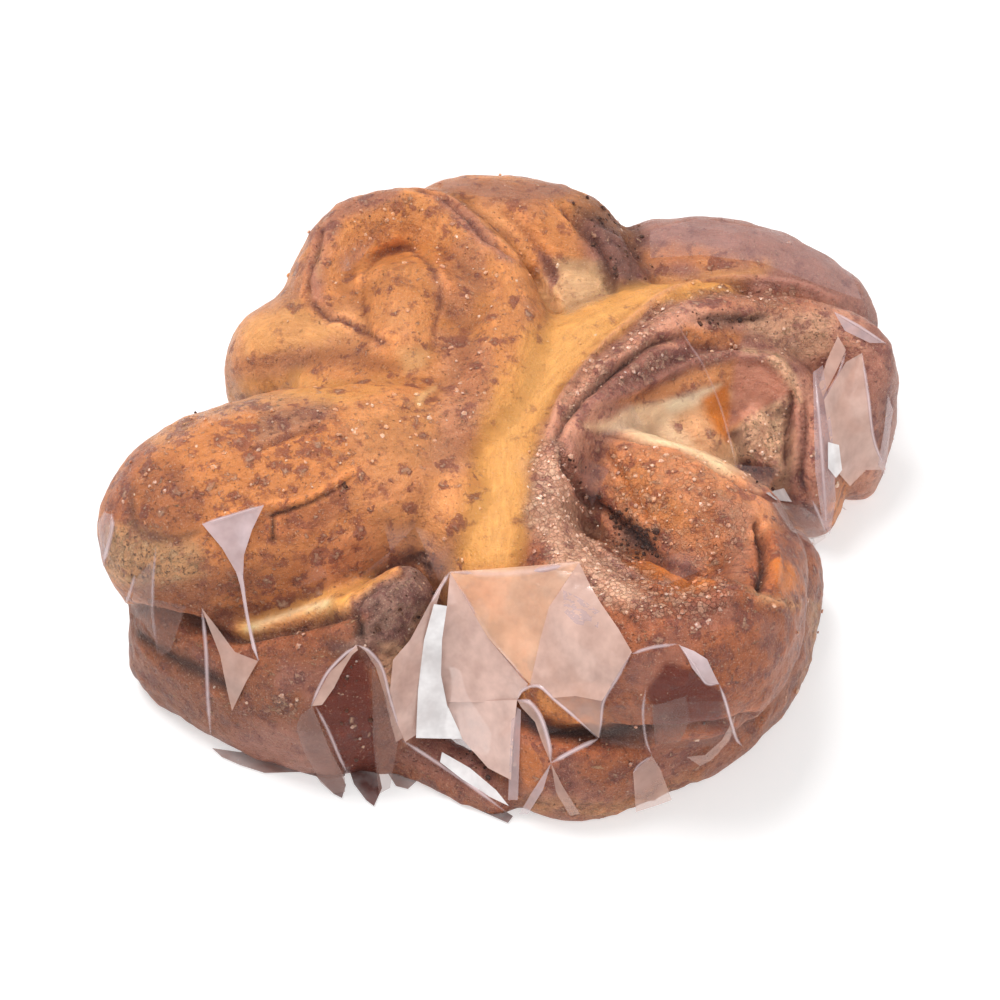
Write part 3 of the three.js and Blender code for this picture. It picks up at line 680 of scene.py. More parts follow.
# ---------------------------------------------------------------- what the materials are made of
# Noise of the crust: lumps for each millimetre, detail and roughness.
STREAKS = (1.6, 4.0, 0.65)
BROAD = (0.32, 6.0, 0.68)
FINE = (0.8, 5.0, 0.72)
GRAIN = (1.9, 4.0, 0.72)
PORE_NOISE = (1.5, 5.0, 0.78)
FLECK_NOISE = (3.2, 2.0, 0.5)
FLAKE_NOISE = (0.9, 6.0, 0.78)
FLAKE_GAP_NOISE = (1.3, 5.0, 0.75)
# Streaks and flakes are longer along the folds: their noise's size across them by its size along them.
STREAK_STRETCH = 0.14
FLAKE_STRETCH = 0.6
# Specks: the noise above which they show on a crust that isn't mottled or flaky, and on one that is
# wholly so, and how soft their edge is.
BLOTCHES = (0.60, 0.43, 0.12)
FRECKLES = (0.66, 0.47, 0.11)
PORES = (0.66, 0.54, 0.06)
FLECKS = (0.66, 0.58, 0.06)
FLAKES = (0.66, 0.46, 0.04)
FLAKE_GAPS = (0.68, 0.52, 0.05)
# Large and small blisters, and sugar crystals: how many for each millimetre.
BLISTERS = 0.38
SMALL_BLISTERS = 0.75
CRYSTALS = 1.25
# How cells are bent: the waves' height in millimetres, and how many waves for each millimetre.
BLISTER_WAVES = (1.3, 0.9)
CRYSTAL_WAVES = (0.35, 1.6)
# Linear colours of what is small on the crust.
DEEP_BROWN = (0.19, 0.070, 0.056, 1)
PALE_FLECK = (0.92, 0.64, 0.44, 1)
PORE = (0.12, 0.055, 0.048, 1)
BLISTER_TOP = (0.62, 0.36, 0.23, 1)
CRYSTAL = (0.80, 0.53, 0.37, 1)
FLAKE = (0.60, 0.37, 0.21, 1)
FLAKE_GAP = (0.10, 0.05, 0.038, 1)
MELTED_SUGAR = (1.0, 0.9, 0.8, 1)
CHARRED = (0.035, 0.012, 0.008, 1)
SINGED = (0.21, 0.085, 0.045, 1)


# ---------------------------------------------------------------- arrays and meshes
def linked(name, data):
    """A new object of the scene that shows a mesh, a camera or a light."""
    obj = bpy.data.objects.new(name, data)
    bpy.context.scene.collection.objects.link(obj)
    return obj


def new_object(name, vertices, faces, smooth=True):
    mesh = bpy.data.meshes.new(name)
    mesh.from_pydata(np.asarray(vertices).tolist(), [], [list(map(int, face)) for face in faces])
    mesh.polygons.foreach_set("use_smooth", [smooth] * len(mesh.polygons))
    mesh.update()
    return linked(name, mesh)


def modified_mesh(obj, kind, **settings):
    """The mesh that a modifier makes of an object, which is then removed."""
    modifier = obj.modifiers.new(kind, kind)
    for key, value in settings.items():
        setattr(modifier, key, value)
    graph = bpy.context.evaluated_depsgraph_get()
    mesh = bpy.data.meshes.new_from_object(obj.evaluated_get(graph))
    bpy.data.objects.remove(obj)
    return mesh


def read(items, key, width, kind=float):
    """One property of all vertices, edges or faces, a row for each."""
    values = np.zeros(len(items) * width, kind)
    items.foreach_get(key, values)
    return values.reshape(-1, width)


def faces_of(mesh, corners):
    """The mesh's faces with this many corners, as rows of vertex numbers."""
    totals = read(mesh.polygons, "loop_total", 1, int)[:, 0]
    starts = read(mesh.polygons, "loop_start", 1, int)
    loops = read(mesh.loops, "vertex_index", 1, int)[:, 0]
    return loops[starts[totals == corners] + np.arange(corners)]


def set_values(mesh, name, values):
    mesh.attributes.new(name, "FLOAT", "POINT").data.foreach_set("value", values)


def set_colours(mesh, colours):
    layer = mesh.color_attributes.new("paint", "FLOAT_COLOR", "POINT")
    layer.data.foreach_set("color", np.hstack([colours, np.ones((len(colours), 1))]).ravel())


def tree_of(points, faces):
    return BVHTree.FromPolygons(points.tolist(), faces.tolist())


def neighbour_mean(values, edges):
    """Every vertex's neighbours' mean of an array with one row a vertex."""
    count = len(values)
    ends = np.concatenate([edges[:, 0], edges[:, 1]])
    others = np.concatenate([edges[:, 1], edges[:, 0]])
    degree = np.maximum(np.bincount(ends, minlength=count), 1)
    columns = [np.bincount(ends, column[others], minlength=count) / degree for column in values.T]
    return np.stack(columns, 1)


def smoothed(values, edges, rounds):
    for _ in range(rounds):
        values = values + 0.5 * (neighbour_mean(values, edges) - values)
    return values


def unit(vectors):
    return vectors / np.maximum(np.linalg.norm(vectors, axis=1), 1e-12)[:, None]


def crossed_diagonals(points, quads):
    """Each quad's normal, twice as long as its area."""
    return np.cross(points[quads[:, 2]] - points[quads[:, 0]], points[quads[:, 3]] - points[quads[:, 1]])


def vertex_normals(points, quads):
    across = crossed_diagonals(points, quads)
    return unit(np.stack([sum(np.bincount(quads[:, k], across[:, axis], minlength=len(points))
                              for k in range(4)) for axis in range(3)], 1))


def smoothstep(low, high, value):
    t = np.clip((value - low) / (high - low), 0, 1)
    return t * t * (3 - 2 * t)


# ---------------------------------------------------------------- noise
NOISE_TABLE = np.random.default_rng(11).uniform(-1, 1, 65536)
NOISE_ORIGIN = 100
HASH_FACTORS = (73856093, 19349663, 83492791)
SEED_FACTOR = 2654435


def value_noise(points, size, seed):
    """Smooth random values from -1 to 1 with lumps of this size."""
    place = points / size + NOISE_ORIGIN
    cell = np.floor(place).astype(np.int64)
    inside = place - cell
    inside = inside * inside * (3 - 2 * inside)
    total = np.zeros(len(points))
    for corner in np.ndindex(2, 2, 2):
        x, y, z = ((cell + corner) * HASH_FACTORS).T
        key = (x ^ y ^ z ^ seed * SEED_FACTOR) & (len(NOISE_TABLE) - 1)
        total += NOISE_TABLE[key] * np.prod(np.where(corner, inside, 1 - inside), 1)
    return total


def layered_noise(points, millimetres, layers, seed):
    return sum(value_noise(points, millimetres * MM / 2**k, seed + k) / 2**k for k in range(layers))


# ---------------------------------------------------------------- dough folds
def catmull_rom(points, t):
    """The smooth curve through points, at places t, where 0 is the first point and 1 the second."""
    points = np.asarray(points, float)
    padded = np.vstack([2 * points[0] - points[1], points, 2 * points[-1] - points[-2]])
    i = np.minimum(t.astype(int), len(points) - 2)
    f = (t - i)[:, None]
    a, b, c, d = (padded[i + k] for k in range(4))
    return 0.5 * (2 * b + (c - a) * f + (2 * a - 5 * b + 4 * c - d) * f**2 + (3 * b - a - 3 * c + d) * f**3)


def fold_tube(waypoints):
    """Vertices, faces, each vertex's height on its section from -1, underside, to 1, crest, and its flow:
    how far along the fold, across it and up it lies."""
    x, y, crest, foot, width = np.asarray(waypoints, float).T
    rows = np.stack([x, y, (crest + foot) / 2, width / 2, (crest - foot) / 2], 1)
    dense = catmull_rom(rows, np.linspace(0, len(rows) - 1, ROUTE_SAMPLES))
    walked = np.concatenate([[0], np.cumsum(np.linalg.norm(np.diff(dense[:, :3], axis=0), axis=1))])
    length = walked[-1]
    share = np.linspace(0, 1, int(length / ROW_LENGTH) + MORE_ROWS)
    share = END_CROWDING * (1 - np.cos(math.pi * share)) / 2 + (1 - END_CROWDING) * share
    ring = np.stack([np.interp(share * length, walked, column) for column in dense.T], 1)
    centre, half_width, half_height = ring[:, :3], ring[:, 3], ring[:, 4]
    tangent = unit(np.gradient(centre, axis=0))
    side = unit(np.stack([tangent[:, 1], -tangent[:, 0], np.zeros(len(ring))], 1))
    up = np.cross(side, tangent)
    reach = np.minimum(np.minimum(half_width, half_height), length / 2)
    swell = np.ones(len(ring))
    for distance in (share * length, (1 - share) * length):
        swell *= np.sqrt(1 - (1 - np.minimum(1, distance / reach)) ** 2)
    swell = np.maximum(swell, THINNEST)
    angle = np.linspace(0, 2 * math.pi, FOLD_SIDES, endpoint=False)
    bulge = [np.sign(w) * np.abs(w) ** (2 / FULLNESS) for w in (np.cos(angle), np.sin(angle))]
    across = (half_width * swell)[:, None] * bulge[0]
    above = (half_height * swell)[:, None] * bulge[1]
    vertices = (centre[:, None] + side[:, None] * across[..., None] + up[:, None] * above[..., None])
    flow = np.stack([np.repeat(share * length, FOLD_SIDES), across.ravel(), above.ravel()], 1)
    i, j = np.meshgrid(np.arange(len(ring) - 1), np.arange(FOLD_SIDES), indexing="ij")
    here, beside = i * FOLD_SIDES + j, i * FOLD_SIDES + (j + 1) % FOLD_SIDES
    quads = np.stack([here, beside, beside + FOLD_SIDES, here + FOLD_SIDES], -1).reshape(-1, 4)
    first_ring = np.arange(FOLD_SIDES)
    caps = [first_ring[::-1], first_ring + (len(ring) - 1) * FOLD_SIDES]
    return vertices.reshape(-1, 3), [*quads, *caps], np.tile(bulge[1], len(ring)), flow


def dough():
    """The folds fused into one skin: its mesh, points in millimetres, crusts and flow."""
    tubes = [fold_tube(waypoints) for _, _, waypoints in FOLDS.values()]
    counts = [len(vertices) for vertices, _, _, _ in tubes]
    starts = np.cumsum([0] + counts)
    vertices = np.vstack([tube[0] for tube in tubes])
    faces = [face + start for (_, tube_faces, _, _), start in zip(tubes, starts) for face in tube_faces]
    owner = np.repeat(np.arange(len(tubes)), counts)
    surface = modified_mesh(new_object("folds", vertices, faces), "REMESH", mode="VOXEL", voxel_size=VOXEL)
    points = read(surface.vertices, "co", 3)
    edges = read(surface.edges, "vertices", 2, int)

    near = KDTree(len(vertices))
    for number, place in enumerate(vertices):
        near.insert(place, number)
    near.balance()
    closest = np.array([near.find(place)[1] for place in points])
    crests, flanks = (np.array([crust_of(fold[k]) for fold in FOLDS.values()]) for k in (0, 1))
    cresting = smoothstep(CREST_FROM, CREST_TO, np.concatenate([tube[2] for tube in tubes])[closest])[:, None]
    crusts = crests[owner[closest]] * cresting + flanks[owner[closest]] * (1 - cresting)
    flow = np.vstack([tube[3] for tube in tubes])[closest] + FLOW_SHIFT * owner[closest, None]
    points[:, 2] = np.maximum(points[:, 2], 0)
    return (surface, smoothed(points, edges, SMOOTHING), smoothed(crusts, edges, PAINT_SMOOTHING),
            smoothed(flow, edges, FLOW_SMOOTHING) * MM)


def fit_to_box(points, low, high):
    """Places points whose box runs from low to high in the solid's box."""
    return (points - low) * (HIGH - LOW) / (high - low) + LOW


# ---------------------------------------------------------------- drawing on the surface through the camera
class PhotoView:
    """The photograph's frame as a way to find places on the bun."""

    def __init__(self, target):
        self.forward = np.array([0, math.cos(CAMERA_ELEVATION), -math.sin(CAMERA_ELEVATION)])
        self.right = np.array([1.0, 0, 0])
        self.up = np.cross(self.right, self.forward)
        self.eye = target - self.forward * CAMERA_DISTANCE * MM
        self.scale = LENS / SENSOR * PHOTO_SIDE

    def pixels(self, points):
        offset = points - self.eye
        depth = offset @ self.forward
        return np.stack([PHOTO_SIDE / 2 + self.scale * (offset @ self.right) / depth,
                         PHOTO_SIDE / 2 - self.scale * (offset @ self.up) / depth], 1)

    def ray(self, pixel):
        u, v = (np.asarray(pixel) - PHOTO_SIDE / 2) / self.scale
        way = self.forward + self.right * u - self.up * v
        return way / np.linalg.norm(way)

    def hit(self, tree, pixel):
        place = tree.ray_cast(Vector(self.eye), Vector(self.ray(pixel)))[0]
        return None if place is None else np.array(place)

    def table_hit(self, pixel):
        """Where a pixel's ray meets the table, at the hem's height."""
        way = self.ray(pixel)
        return self.eye + way * ((HEM_HEIGHT * MM - self.eye[2]) / way[2])

    def draped(self, tree, path):
        """The places of a path of pixels laid on the surface."""
        path = np.asarray(path, float)
        length = np.linalg.norm(np.diff(path, axis=0), axis=1).sum()
        line = catmull_rom(path, np.linspace(0, len(path) - 1, max(4, int(length / PATH_STEP))))
        hits = [self.hit(tree, pixel) for pixel in line]
        return np.array([place for place in hits if place is not None])

    def visible(self, tree, points, normals):
        """Which points the camera sees."""
        seen = np.zeros(len(points), bool)
        for i in np.flatnonzero(((self.eye - points) * normals).sum(1) > 0):
            start = Vector(points[i] + normals[i] * SIGHT_ROOM * MM)
            seen[i] = tree.ray_cast(start, Vector(self.eye) - start)[0] is None
        return seen


def path_distance(points, line, reach):
    """Each point's distance to a line of places, and how far along it the nearest one is, from 0 to 1."""
    distance = np.full(len(points), np.inf)
    along = np.zeros(len(points))
    near = np.flatnonzero(((points > line.min(0) - reach) & (points < line.max(0) + reach)).all(1))
    for part in np.array_split(near, max(1, len(near) // POINTS_AT_ONCE)):
        gap = np.linalg.norm(points[part][:, None] - line[None], axis=2)
        distance[part] = gap.min(1)
        along[part] = gap.argmin(1) / (len(line) - 1)
    return distance, along


def outline_depth(pixels, outline):
    """How far inside a closed outline each pixel lies, negative outside."""
    corners = np.asarray(outline, float)
    inside = np.zeros(len(pixels), bool)
    nearest = np.full(len(pixels), np.inf)
    for a, b in zip(corners, np.roll(corners, -1, 0)):
        side = b - a
        t = np.clip(((pixels - a) @ side) / (side @ side), 0, 1)
        nearest = np.minimum(nearest, np.linalg.norm(pixels - a - t[:, None] * side, axis=1))
        crosses = (a[1] > pixels[:, 1]) != (b[1] > pixels[:, 1])
        slope = side[0] / side[1] if side[1] else 0
        inside ^= crosses & (pixels[:, 0] < a[0] + (pixels[:, 1] - a[1]) * slope)
    return np.where(inside, nearest, -nearest)


def linear(colour):
    c = np.asarray(colour, float) / 255
    return np.where(c <= 0.04045, c / 12.92, ((c + 0.055) / 1.055) ** 2.4)


def crust_of(name):
    """A named crust as one row: linear red, green and blue, then mottled, flaky and blistered."""
    return np.concatenate([linear(COLOURS[name][:3]), COLOURS[name][3:]])


# ---------------------------------------------------------------- the bun
surface, points, paint, flow = dough()
quads = faces_of(surface, 4)
edges = read(surface.edges, "vertices", 2, int)
raw_box = points.min(0), points.max(0)
points = fit_to_box(points, *raw_box)
view = PhotoView(fit_to_box(CAMERA_TARGET, *raw_box))
pixels = view.pixels(points)
normals = vertex_normals(points, quads)
skin_tree = tree_of(points, quads)
seen = view.visible(skin_tree, points, normals).astype(float)
seen_share = smoothed(seen[:, None], edges, 1)[:, 0]
wobble = layered_noise(points, *WOBBLE)


def lumps(kind):
    height, *noise = LUMPS[kind]
    return height * layered_noise(points, *noise)


def line_share(path, half_width, fading, least, uneven):
    """How strongly a drawn line shows at each vertex, down to the least share at its fading ends."""
    distance, along = path_distance(points, view.draped(skin_tree, path), LINE_REACH * half_width * MM)
    taper = smoothstep(0, fading, along) * smoothstep(0, fading, 1 - along)
    width = half_width * MM * (1 + uneven * wobble)
    return (least + (1 - least) * taper) * np.exp(-(distance / width) ** 2)


def area_share(outline, soft, uneven):
    """How far inside an outline each seen vertex lies, from 0 to 1 across its soft edge in pixels."""
    return smoothstep(-soft, soft, outline_depth(pixels, outline) + wobble * uneven) * seen_share


def covered(crusts, name, share):
    """Crusts with a named one laid over them."""
    return crusts * (1 - share[:, None]) + crust_of(name) * share[:, None]


relief = lumps("swells") + lumps("dimples") + paint[:, 3] * lumps("mottled")
for lines, sign in ((GROOVES, -1), (RIDGES, 1)):
    for half_width, depth, path in lines.values():
        relief += sign * depth * line_share(path, half_width, *RELIEF_FADE)

baked = smoothstep(BAKED_FROM, BAKED_TO, layered_noise(points, *BAKED)) * paint[:, 3] * BAKED_SHARE
paint = covered(paint, "purple_brown", baked)
torn, wet, burnt, sugared = np.zeros((4, len(points)))
for name, (colour, strength, soft, outline) in PATCHES.items():
    share = area_share(outline, soft, PATCH_UNEVEN * soft) * strength
    paint = covered(paint, colour, share)
    if name in WET_PATCHES:
        wet = np.maximum(wet, share)
    if name in TORN_PATCHES:
        torn = np.maximum(torn, share)
    if colour == "burnt":
        burnt = np.maximum(burnt, share)
for colour, strength, half_width, path in STRIPES.values():
    paint = covered(paint, colour, strength * line_share(path, half_width, *STRIPE_FADE))
for amount, outline in SUGAR_AREAS.values():
    sugared = np.maximum(sugared, area_share(outline, *SUGAR_EDGE) * min(1, amount / FULL_SUGAR))
relief += torn * lumps("torn") + paint[:, 4] * lumps("flaky") + burnt * lumps("burnt")

points = points + normals * (relief * MM)[:, None]
points[:, 2] = np.clip(points[:, 2], WRAP_ROOM * MM, HIGH[2])
normals = vertex_normals(points, quads)
# Painted shade in the hollows and painted light on the crests, by how far each vertex lies below or above its
# smoothed neighbours.
hollow = ((smoothed(points, edges, HOLLOW_ROUNDS) - points) * normals).sum(1) / MM
painted_shade_share, painted_light_share = ((most * smoothstep(low, high, height))[:, None] for (most, low, high), height
                           in ((PAINTED_HOLLOW_SHADE, hollow), (PAINTED_CREST_LIGHT, -hollow)))
paint[:, :3] *= 1 - painted_shade_share * (1 - PAINTED_SHADE_TINT)
paint[:, :3] = np.minimum(paint[:, :3] * (1 + painted_light_share), 1)

surface.vertices.foreach_set("co", points.ravel())
surface.polygons.foreach_set("use_smooth", [True] * len(surface.polygons))
surface.update()
set_colours(surface, paint[:, :3])
for name, values in (("mottled", paint[:, 3]), ("flaky", paint[:, 4]), ("blistered", paint[:, 5]),
                     ("torn", torn), ("wet", wet), ("sugared", sugared)):
    set_values(surface, name, values)
surface.attributes.new("flow", "FLOAT_VECTOR", "POINT").data.foreach_set("vector", flow.ravel())
bun = linked("bun", surface)


# ---------------------------------------------------------------- materials
class Nodes:
    """Builds a material's node tree with short calls."""

    def __init__(self, name, values):
        self.material = bpy.data.materials.new(name)
        self.material.use_nodes = True
        self.tree = self.material.node_tree
        self.shader = self.tree.nodes["Principled BSDF"]
        self.place = self.add("ShaderNodeTexCoord").outputs["Object"]
        for key, value in values.items():
            self.shader.inputs[key].default_value = value

    def fill(self, socket, value):
        if isinstance(value, bpy.types.NodeSocket):
            self.tree.links.new(value, socket)
        else:
            socket.default_value = value

    def link(self, value, socket):
        self.fill(self.shader.inputs[socket], value)

    def add(self, kind, inputs=(), **settings):
        node = self.tree.nodes.new(kind)
        for key, value in settings.items():
            setattr(node, key, value)
        for key, value in dict(inputs).items():
            self.fill(node.inputs[key], value)
        return node

    def attribute(self, name, output="Fac"):
        return self.add("ShaderNodeAttribute", attribute_name=name).outputs[output]

    def mix(self, share, first, second, blend="MIX"):
        return self.add("ShaderNodeMix", {0: share, 6: first, 7: second},
                        data_type="RGBA", blend_type=blend).outputs[2]

    def tinted(self, colour, tint):
        return self.mix(1.0, colour, (*tint, 1), "MULTIPLY")

    def math(self, operation, first, second, clamped=False):
        return self.add("ShaderNodeMath", {0: first, 1: second}, operation=operation,
                        use_clamp=clamped).outputs[0]

    def times(self, first, second):
        return self.math("MULTIPLY", first, second)

    def plus(self, first, second):
        return self.math("ADD", first, second)

    def above(self, value, threshold, soft):
        """How far a value is past a threshold, from 0 to 1 over a soft stretch."""
        return self.math("DIVIDE", self.math("SUBTRACT", value, threshold), soft, True)

    def over(self, colour, share, most, top):
        """A colour with another laid over it, by a share of the most that covers it."""
        return self.mix(self.times(share, most), colour, top)

    def ramp(self, value, low, high, start=0.0, end=1.0):
        return self.add("ShaderNodeMapRange", {"Value": value, "From Min": low, "From Max": high,
                                               "To Min": start, "To Max": end}).outputs[0]

    def noise(self, per_mm, detail=2.0, roughness=0.5, place=None, output="Fac"):
        return self.add("ShaderNodeTexNoise", {
            "Vector": self.place if place is None else place, "Scale": per_mm / MM, "Detail": detail,
            "Roughness": roughness}).outputs[output]

    def flow(self, stretch):
        """Places along, across and up the folds, stretched along them."""
        return self.add("ShaderNodeMapping", {
            "Vector": self.attribute("flow", "Vector"), "Scale": (stretch, 1, 1)}).outputs[0]

    def cells(self, per_mm, waves, waves_per_mm, **settings):
        """Cells whose walls are bent by waves of this height in millimetres."""
        centred = self.vector("SUBTRACT", self.noise(waves_per_mm, output="Color"), {1: (0.5, 0.5, 0.5)})
        step = self.vector("SCALE", centred, {"Scale": 2 * waves * MM})
        return self.add("ShaderNodeTexVoronoi", {"Vector": self.vector("ADD", self.place, {1: step}),
                                                 "Scale": per_mm / MM}, **settings).outputs

    def vector(self, operation, first, inputs):
        return self.add("ShaderNodeVectorMath", {0: first, **inputs}, operation=operation).outputs[0]

    def parts(self, colour):
        return self.add("ShaderNodeSeparateColor", {"Color": colour}).outputs


def crust_material():
    n = Nodes("glazed_crust", {
        "Subsurface Weight": 0.08, "Subsurface Radius": (1.0, 0.35, 0.15), "Subsurface Scale": 1.0 * MM,
        "Specular IOR Level": 0.28})
    base = n.attribute("paint", "Color")
    mottled, flaky, blistered, torn_share, wet_share, sugar_amount = (
        n.attribute(name) for name in ("mottled", "flaky", "blistered", "torn", "wet", "sugared"))
    streak = n.noise(*STREAKS, n.flow(STREAK_STRETCH))
    broad, fine, grain = (n.noise(*kind) for kind in (BROAD, FINE, GRAIN))
    warm = n.mix(n.ramp(streak, 0.36, 0.66), n.tinted(base, (0.90, 0.86, 0.82)),
                 n.tinted(base, (1.08, 1.10, 1.08)))
    brown = n.mix(0.4, n.tinted(base, (0.60, 0.46, 0.52)), DEEP_BROWN)

    def bubbles(per_mm, share):
        """Blisters: the dark skin round each one, its ring and its lighter dome."""
        cells = n.cells(per_mm, *BLISTER_WAVES)
        pick = n.parts(cells["Color"])
        chosen = n.above(n.times(blistered, share), pick[0], 0.05)
        chosen = n.times(chosen, n.ramp(broad, 0.40, 0.50, 0.35, 1.0))
        reach = n.times(cells["Distance"], n.ramp(pick[1], 0, 1, 0.8, 1.7))
        return [n.times(n.ramp(reach, near, far, 1.0, 0.0), chosen)
                for near, far in ((0.36, 0.70), (0.30, 0.44), (0.10, 0.27))]

    def specks(noise, amount, rare, common, soft):
        """Where a noise passes a threshold that goes from rare to common as the amount grows."""
        return n.above(noise, n.ramp(amount, 0, 1, rare, common), soft)

    halo, ring, dome = bubbles(BLISTERS, 0.85)
    _, small_ring, small_dome = bubbles(SMALL_BLISTERS, 0.9)
    blotch = specks(n.plus(broad, n.times(halo, 0.16)), mottled, *BLOTCHES)
    freckle = specks(fine, mottled, *FRECKLES)
    pore = specks(n.noise(*PORE_NOISE), mottled, *PORES)
    fleck = specks(n.noise(*FLECK_NOISE), mottled, *FLECKS)
    flake = specks(n.noise(*FLAKE_NOISE, n.flow(FLAKE_STRETCH)), flaky, *FLAKES)
    flake_gap = specks(n.noise(*FLAKE_GAP_NOISE), flaky, *FLAKE_GAPS)
    colour = n.over(warm, blotch, 0.85, brown)
    colour = n.over(colour, freckle, 0.5, brown)
    colour = n.over(colour, fleck, 0.45, n.mix(0.55, base, PALE_FLECK))
    colour = n.over(colour, pore, 0.7, PORE)
    for edge, middle, most in ((small_ring, small_dome, 0.45), (ring, dome, 0.85)):
        colour = n.over(colour, edge, most, brown)
        colour = n.over(colour, middle, 0.75, BLISTER_TOP)

    crystal = n.parts(n.cells(CRYSTALS, *CRYSTAL_WAVES)["Color"])[0]
    walls = n.cells(CRYSTALS, *CRYSTAL_WAVES, feature="DISTANCE_TO_EDGE")["Distance"]
    bright = n.mix(0.55, n.tinted(base, (1.3, 1.35, 1.3)), CRYSTAL)
    crystals = n.mix(n.ramp(crystal, 0.45, 1.0), n.tinted(colour, (0.95, 0.92, 0.92)), bright)
    gap = n.ramp(walls, 0.02, 0.10, 1.0, 0.0)
    crystals = n.over(crystals, gap, 0.4, n.tinted(base, (0.5, 0.38, 0.34)))
    sugar_share = n.above(n.plus(sugar_amount, n.ramp(fine, 0.3, 0.7, -0.35, 0.35)), 0.35, 0.3)
    colour = n.over(colour, sugar_share, 0.75, crystals)
    colour = n.over(colour, flake, 0.6, FLAKE)
    n.link(n.over(colour, flake_gap, 0.75, FLAKE_GAP), "Base Color")

    rough = n.ramp(fine, 0.3, 0.7, 0.24, 0.42)
    for share, rougher in ((torn_share, 0.3), (flake, 0.2), (wet_share, -0.16)):
        rough = n.plus(rough, n.times(share, rougher))
    n.link(rough, "Roughness")

    height = n.times(fine, n.ramp(mottled, 0, 1, 0.25, 0.75))
    for layer, millimetres in (
            (grain, 0.26), (streak, 0.12), (blotch, -0.08), (dome, 0.3), (ring, 0.1), (small_dome, 0.18),
            (n.times(crystal, sugar_share), 0.22), (n.times(gap, sugar_share), -0.15), (flake, 0.16),
            (flake_gap, -0.2), (pore, -0.12)):
        height = n.plus(height, n.times(layer, millimetres))
    bump = n.add("ShaderNodeBump", {"Height": height, "Strength": 1.0, "Distance": MM})
    n.link(bump.outputs["Normal"], "Normal")
    return n.material


surface.materials.append(crust_material())
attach(bun, "root")
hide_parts("wrapped_bun")


# ---------------------------------------------------------------- sugar and burnt crumbs
quad_middle = points[quads].mean(1)
quad_pixels = view.pixels(quad_middle)
quad_area = np.linalg.norm(crossed_diagonals(points, quads), axis=1) / 2


def scattered(areas, elsewhere):
    """Random places on the bun: one quad number a grain."""
    density = np.full(len(quads), float(elsewhere))
    for amount, outline in areas.values():
        inside = smoothstep(-GRAIN_EDGE, GRAIN_EDGE, outline_depth(quad_pixels, outline))
        density = np.maximum(density, amount * (inside * seen_share[quads[:, 0]]))
    density *= quad_middle[:, 2] > BARE_FOOT * MM
    return np.flatnonzero(RNG.random(len(quads)) < density * quad_area / CM2)


def grain_shape():
    """A twelve-cornered crystal of radius one: its corners and triangles."""
    form = bmesh.new()
    bmesh.ops.create_icosphere(form, subdivisions=1, radius=1)
    corners = np.array([v.co for v in form.verts])
    faces = np.array([[v.index for v in face.verts] for face in form.faces])
    form.free()
    return corners, faces


def grains(name, places, small, large, sunk, flatness):
    """Many small uneven crystals, from small to large in millimetres, set into the chosen quads."""
    corners, faces = grain_shape()
    count = len(places)
    size = (small + (large - small) * RNG.random(count) ** 2) * MM
    turned = np.linalg.qr(RNG.normal(size=(count, 3, 3)))[0]
    shape = corners[None] * (1 + RNG.uniform(-GRAIN_BUMPS, GRAIN_BUMPS, (count, len(corners), 1)))
    shape = shape * RNG.uniform(*GRAIN_STRETCH, (count, 1, 3))
    shape = np.einsum("nij,nkj->nki", turned, shape) * size[:, None, None]
    up = normals[quads[places, 0]]
    shape -= up[:, None] * (np.einsum("nki,ni->nk", shape, up) * flatness)[..., None]
    jitter = RNG.uniform(-GRAIN_JITTER, GRAIN_JITTER, (count, 3)) * MM
    middle = quad_middle[places] + up * (size * (1 - 2 * sunk))[:, None] + jitter
    all_faces = (faces[None] + (np.arange(count) * len(corners))[:, None, None]).reshape(-1, 3)
    obj = new_object(name, (middle[:, None] + shape).reshape(-1, 3), all_faces, smooth=False)
    return obj, np.repeat(np.arange(count), len(corners))


def sugar_material():
    n = Nodes("glazed_sugar", {
        "Subsurface Weight": 0.3, "Subsurface Radius": (1.0, 0.6, 0.4), "Subsurface Scale": 0.6 * MM})
    cloudy = n.noise(1.6)
    colour = n.mix(n.ramp(cloudy, 0.4, 0.7, 0.0, 0.35), n.attribute("paint", "Color"), MELTED_SUGAR)
    n.link(colour, "Base Color")
    n.link(n.ramp(cloudy, 0.3, 0.7, 0.18, 0.34), "Roughness")
    return n.material


def crumb_material():
    n = Nodes("burnt_filling", {"Specular IOR Level": 0.2})
    speckle = n.noise(1.2, 3.0, 0.7)
    n.link(n.mix(n.ramp(speckle, 0.4, 0.75), CHARRED, SINGED), "Base Color")
    n.link(n.ramp(speckle, 0.3, 0.7, 0.35, 0.7), "Roughness")
    return n.material


sugar_places = scattered(SUGAR_AREAS, SUGAR_ELSEWHERE)
sugar, grain_of = grains("sugar", sugar_places, *SUGAR_GRAIN)
surface_colour = paint[quads[sugar_places, 0], :3]
whiteness = RNG.beta(*WHITENESS, len(sugar_places))[:, None]
grain_colour = surface_colour * (1 - whiteness) + linear(SUGAR_WHITE) * whiteness
set_colours(sugar.data, grain_colour[grain_of])
sugar.data.materials.append(sugar_material())
crumbs, _ = grains("burnt_crumbs", scattered(CRUMB_AREAS, CRUMBS_ELSEWHERE), *CRUMB_GRAIN)
crumbs.data.materials.append(crumb_material())
for piece, slot in ((sugar, "sugar"), (crumbs, "burnt_filling")):
    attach(piece, "root")


# ---------------------------------------------------------------- clear film
bun_tree = tree_of(points, quads)


def offset_surface(vertices, faces, distance):
    """The surface at a distance from a closed one, outside it where the distance is above zero."""
    transform = openvdb.createLinearTransform(voxelSize=FILM_VOXEL * MM)
    grid = openvdb.FloatGrid.createLevelSetFromPolygons(
        vertices.astype(np.float32), quads=faces.astype(np.uint32), transform=transform,
        halfWidth=abs(distance) / FILM_VOXEL + 3)
    places, _, new_faces = grid.convertToPolygons(isovalue=distance * MM)
    return np.asarray(places, float), np.asarray(new_faces, int)


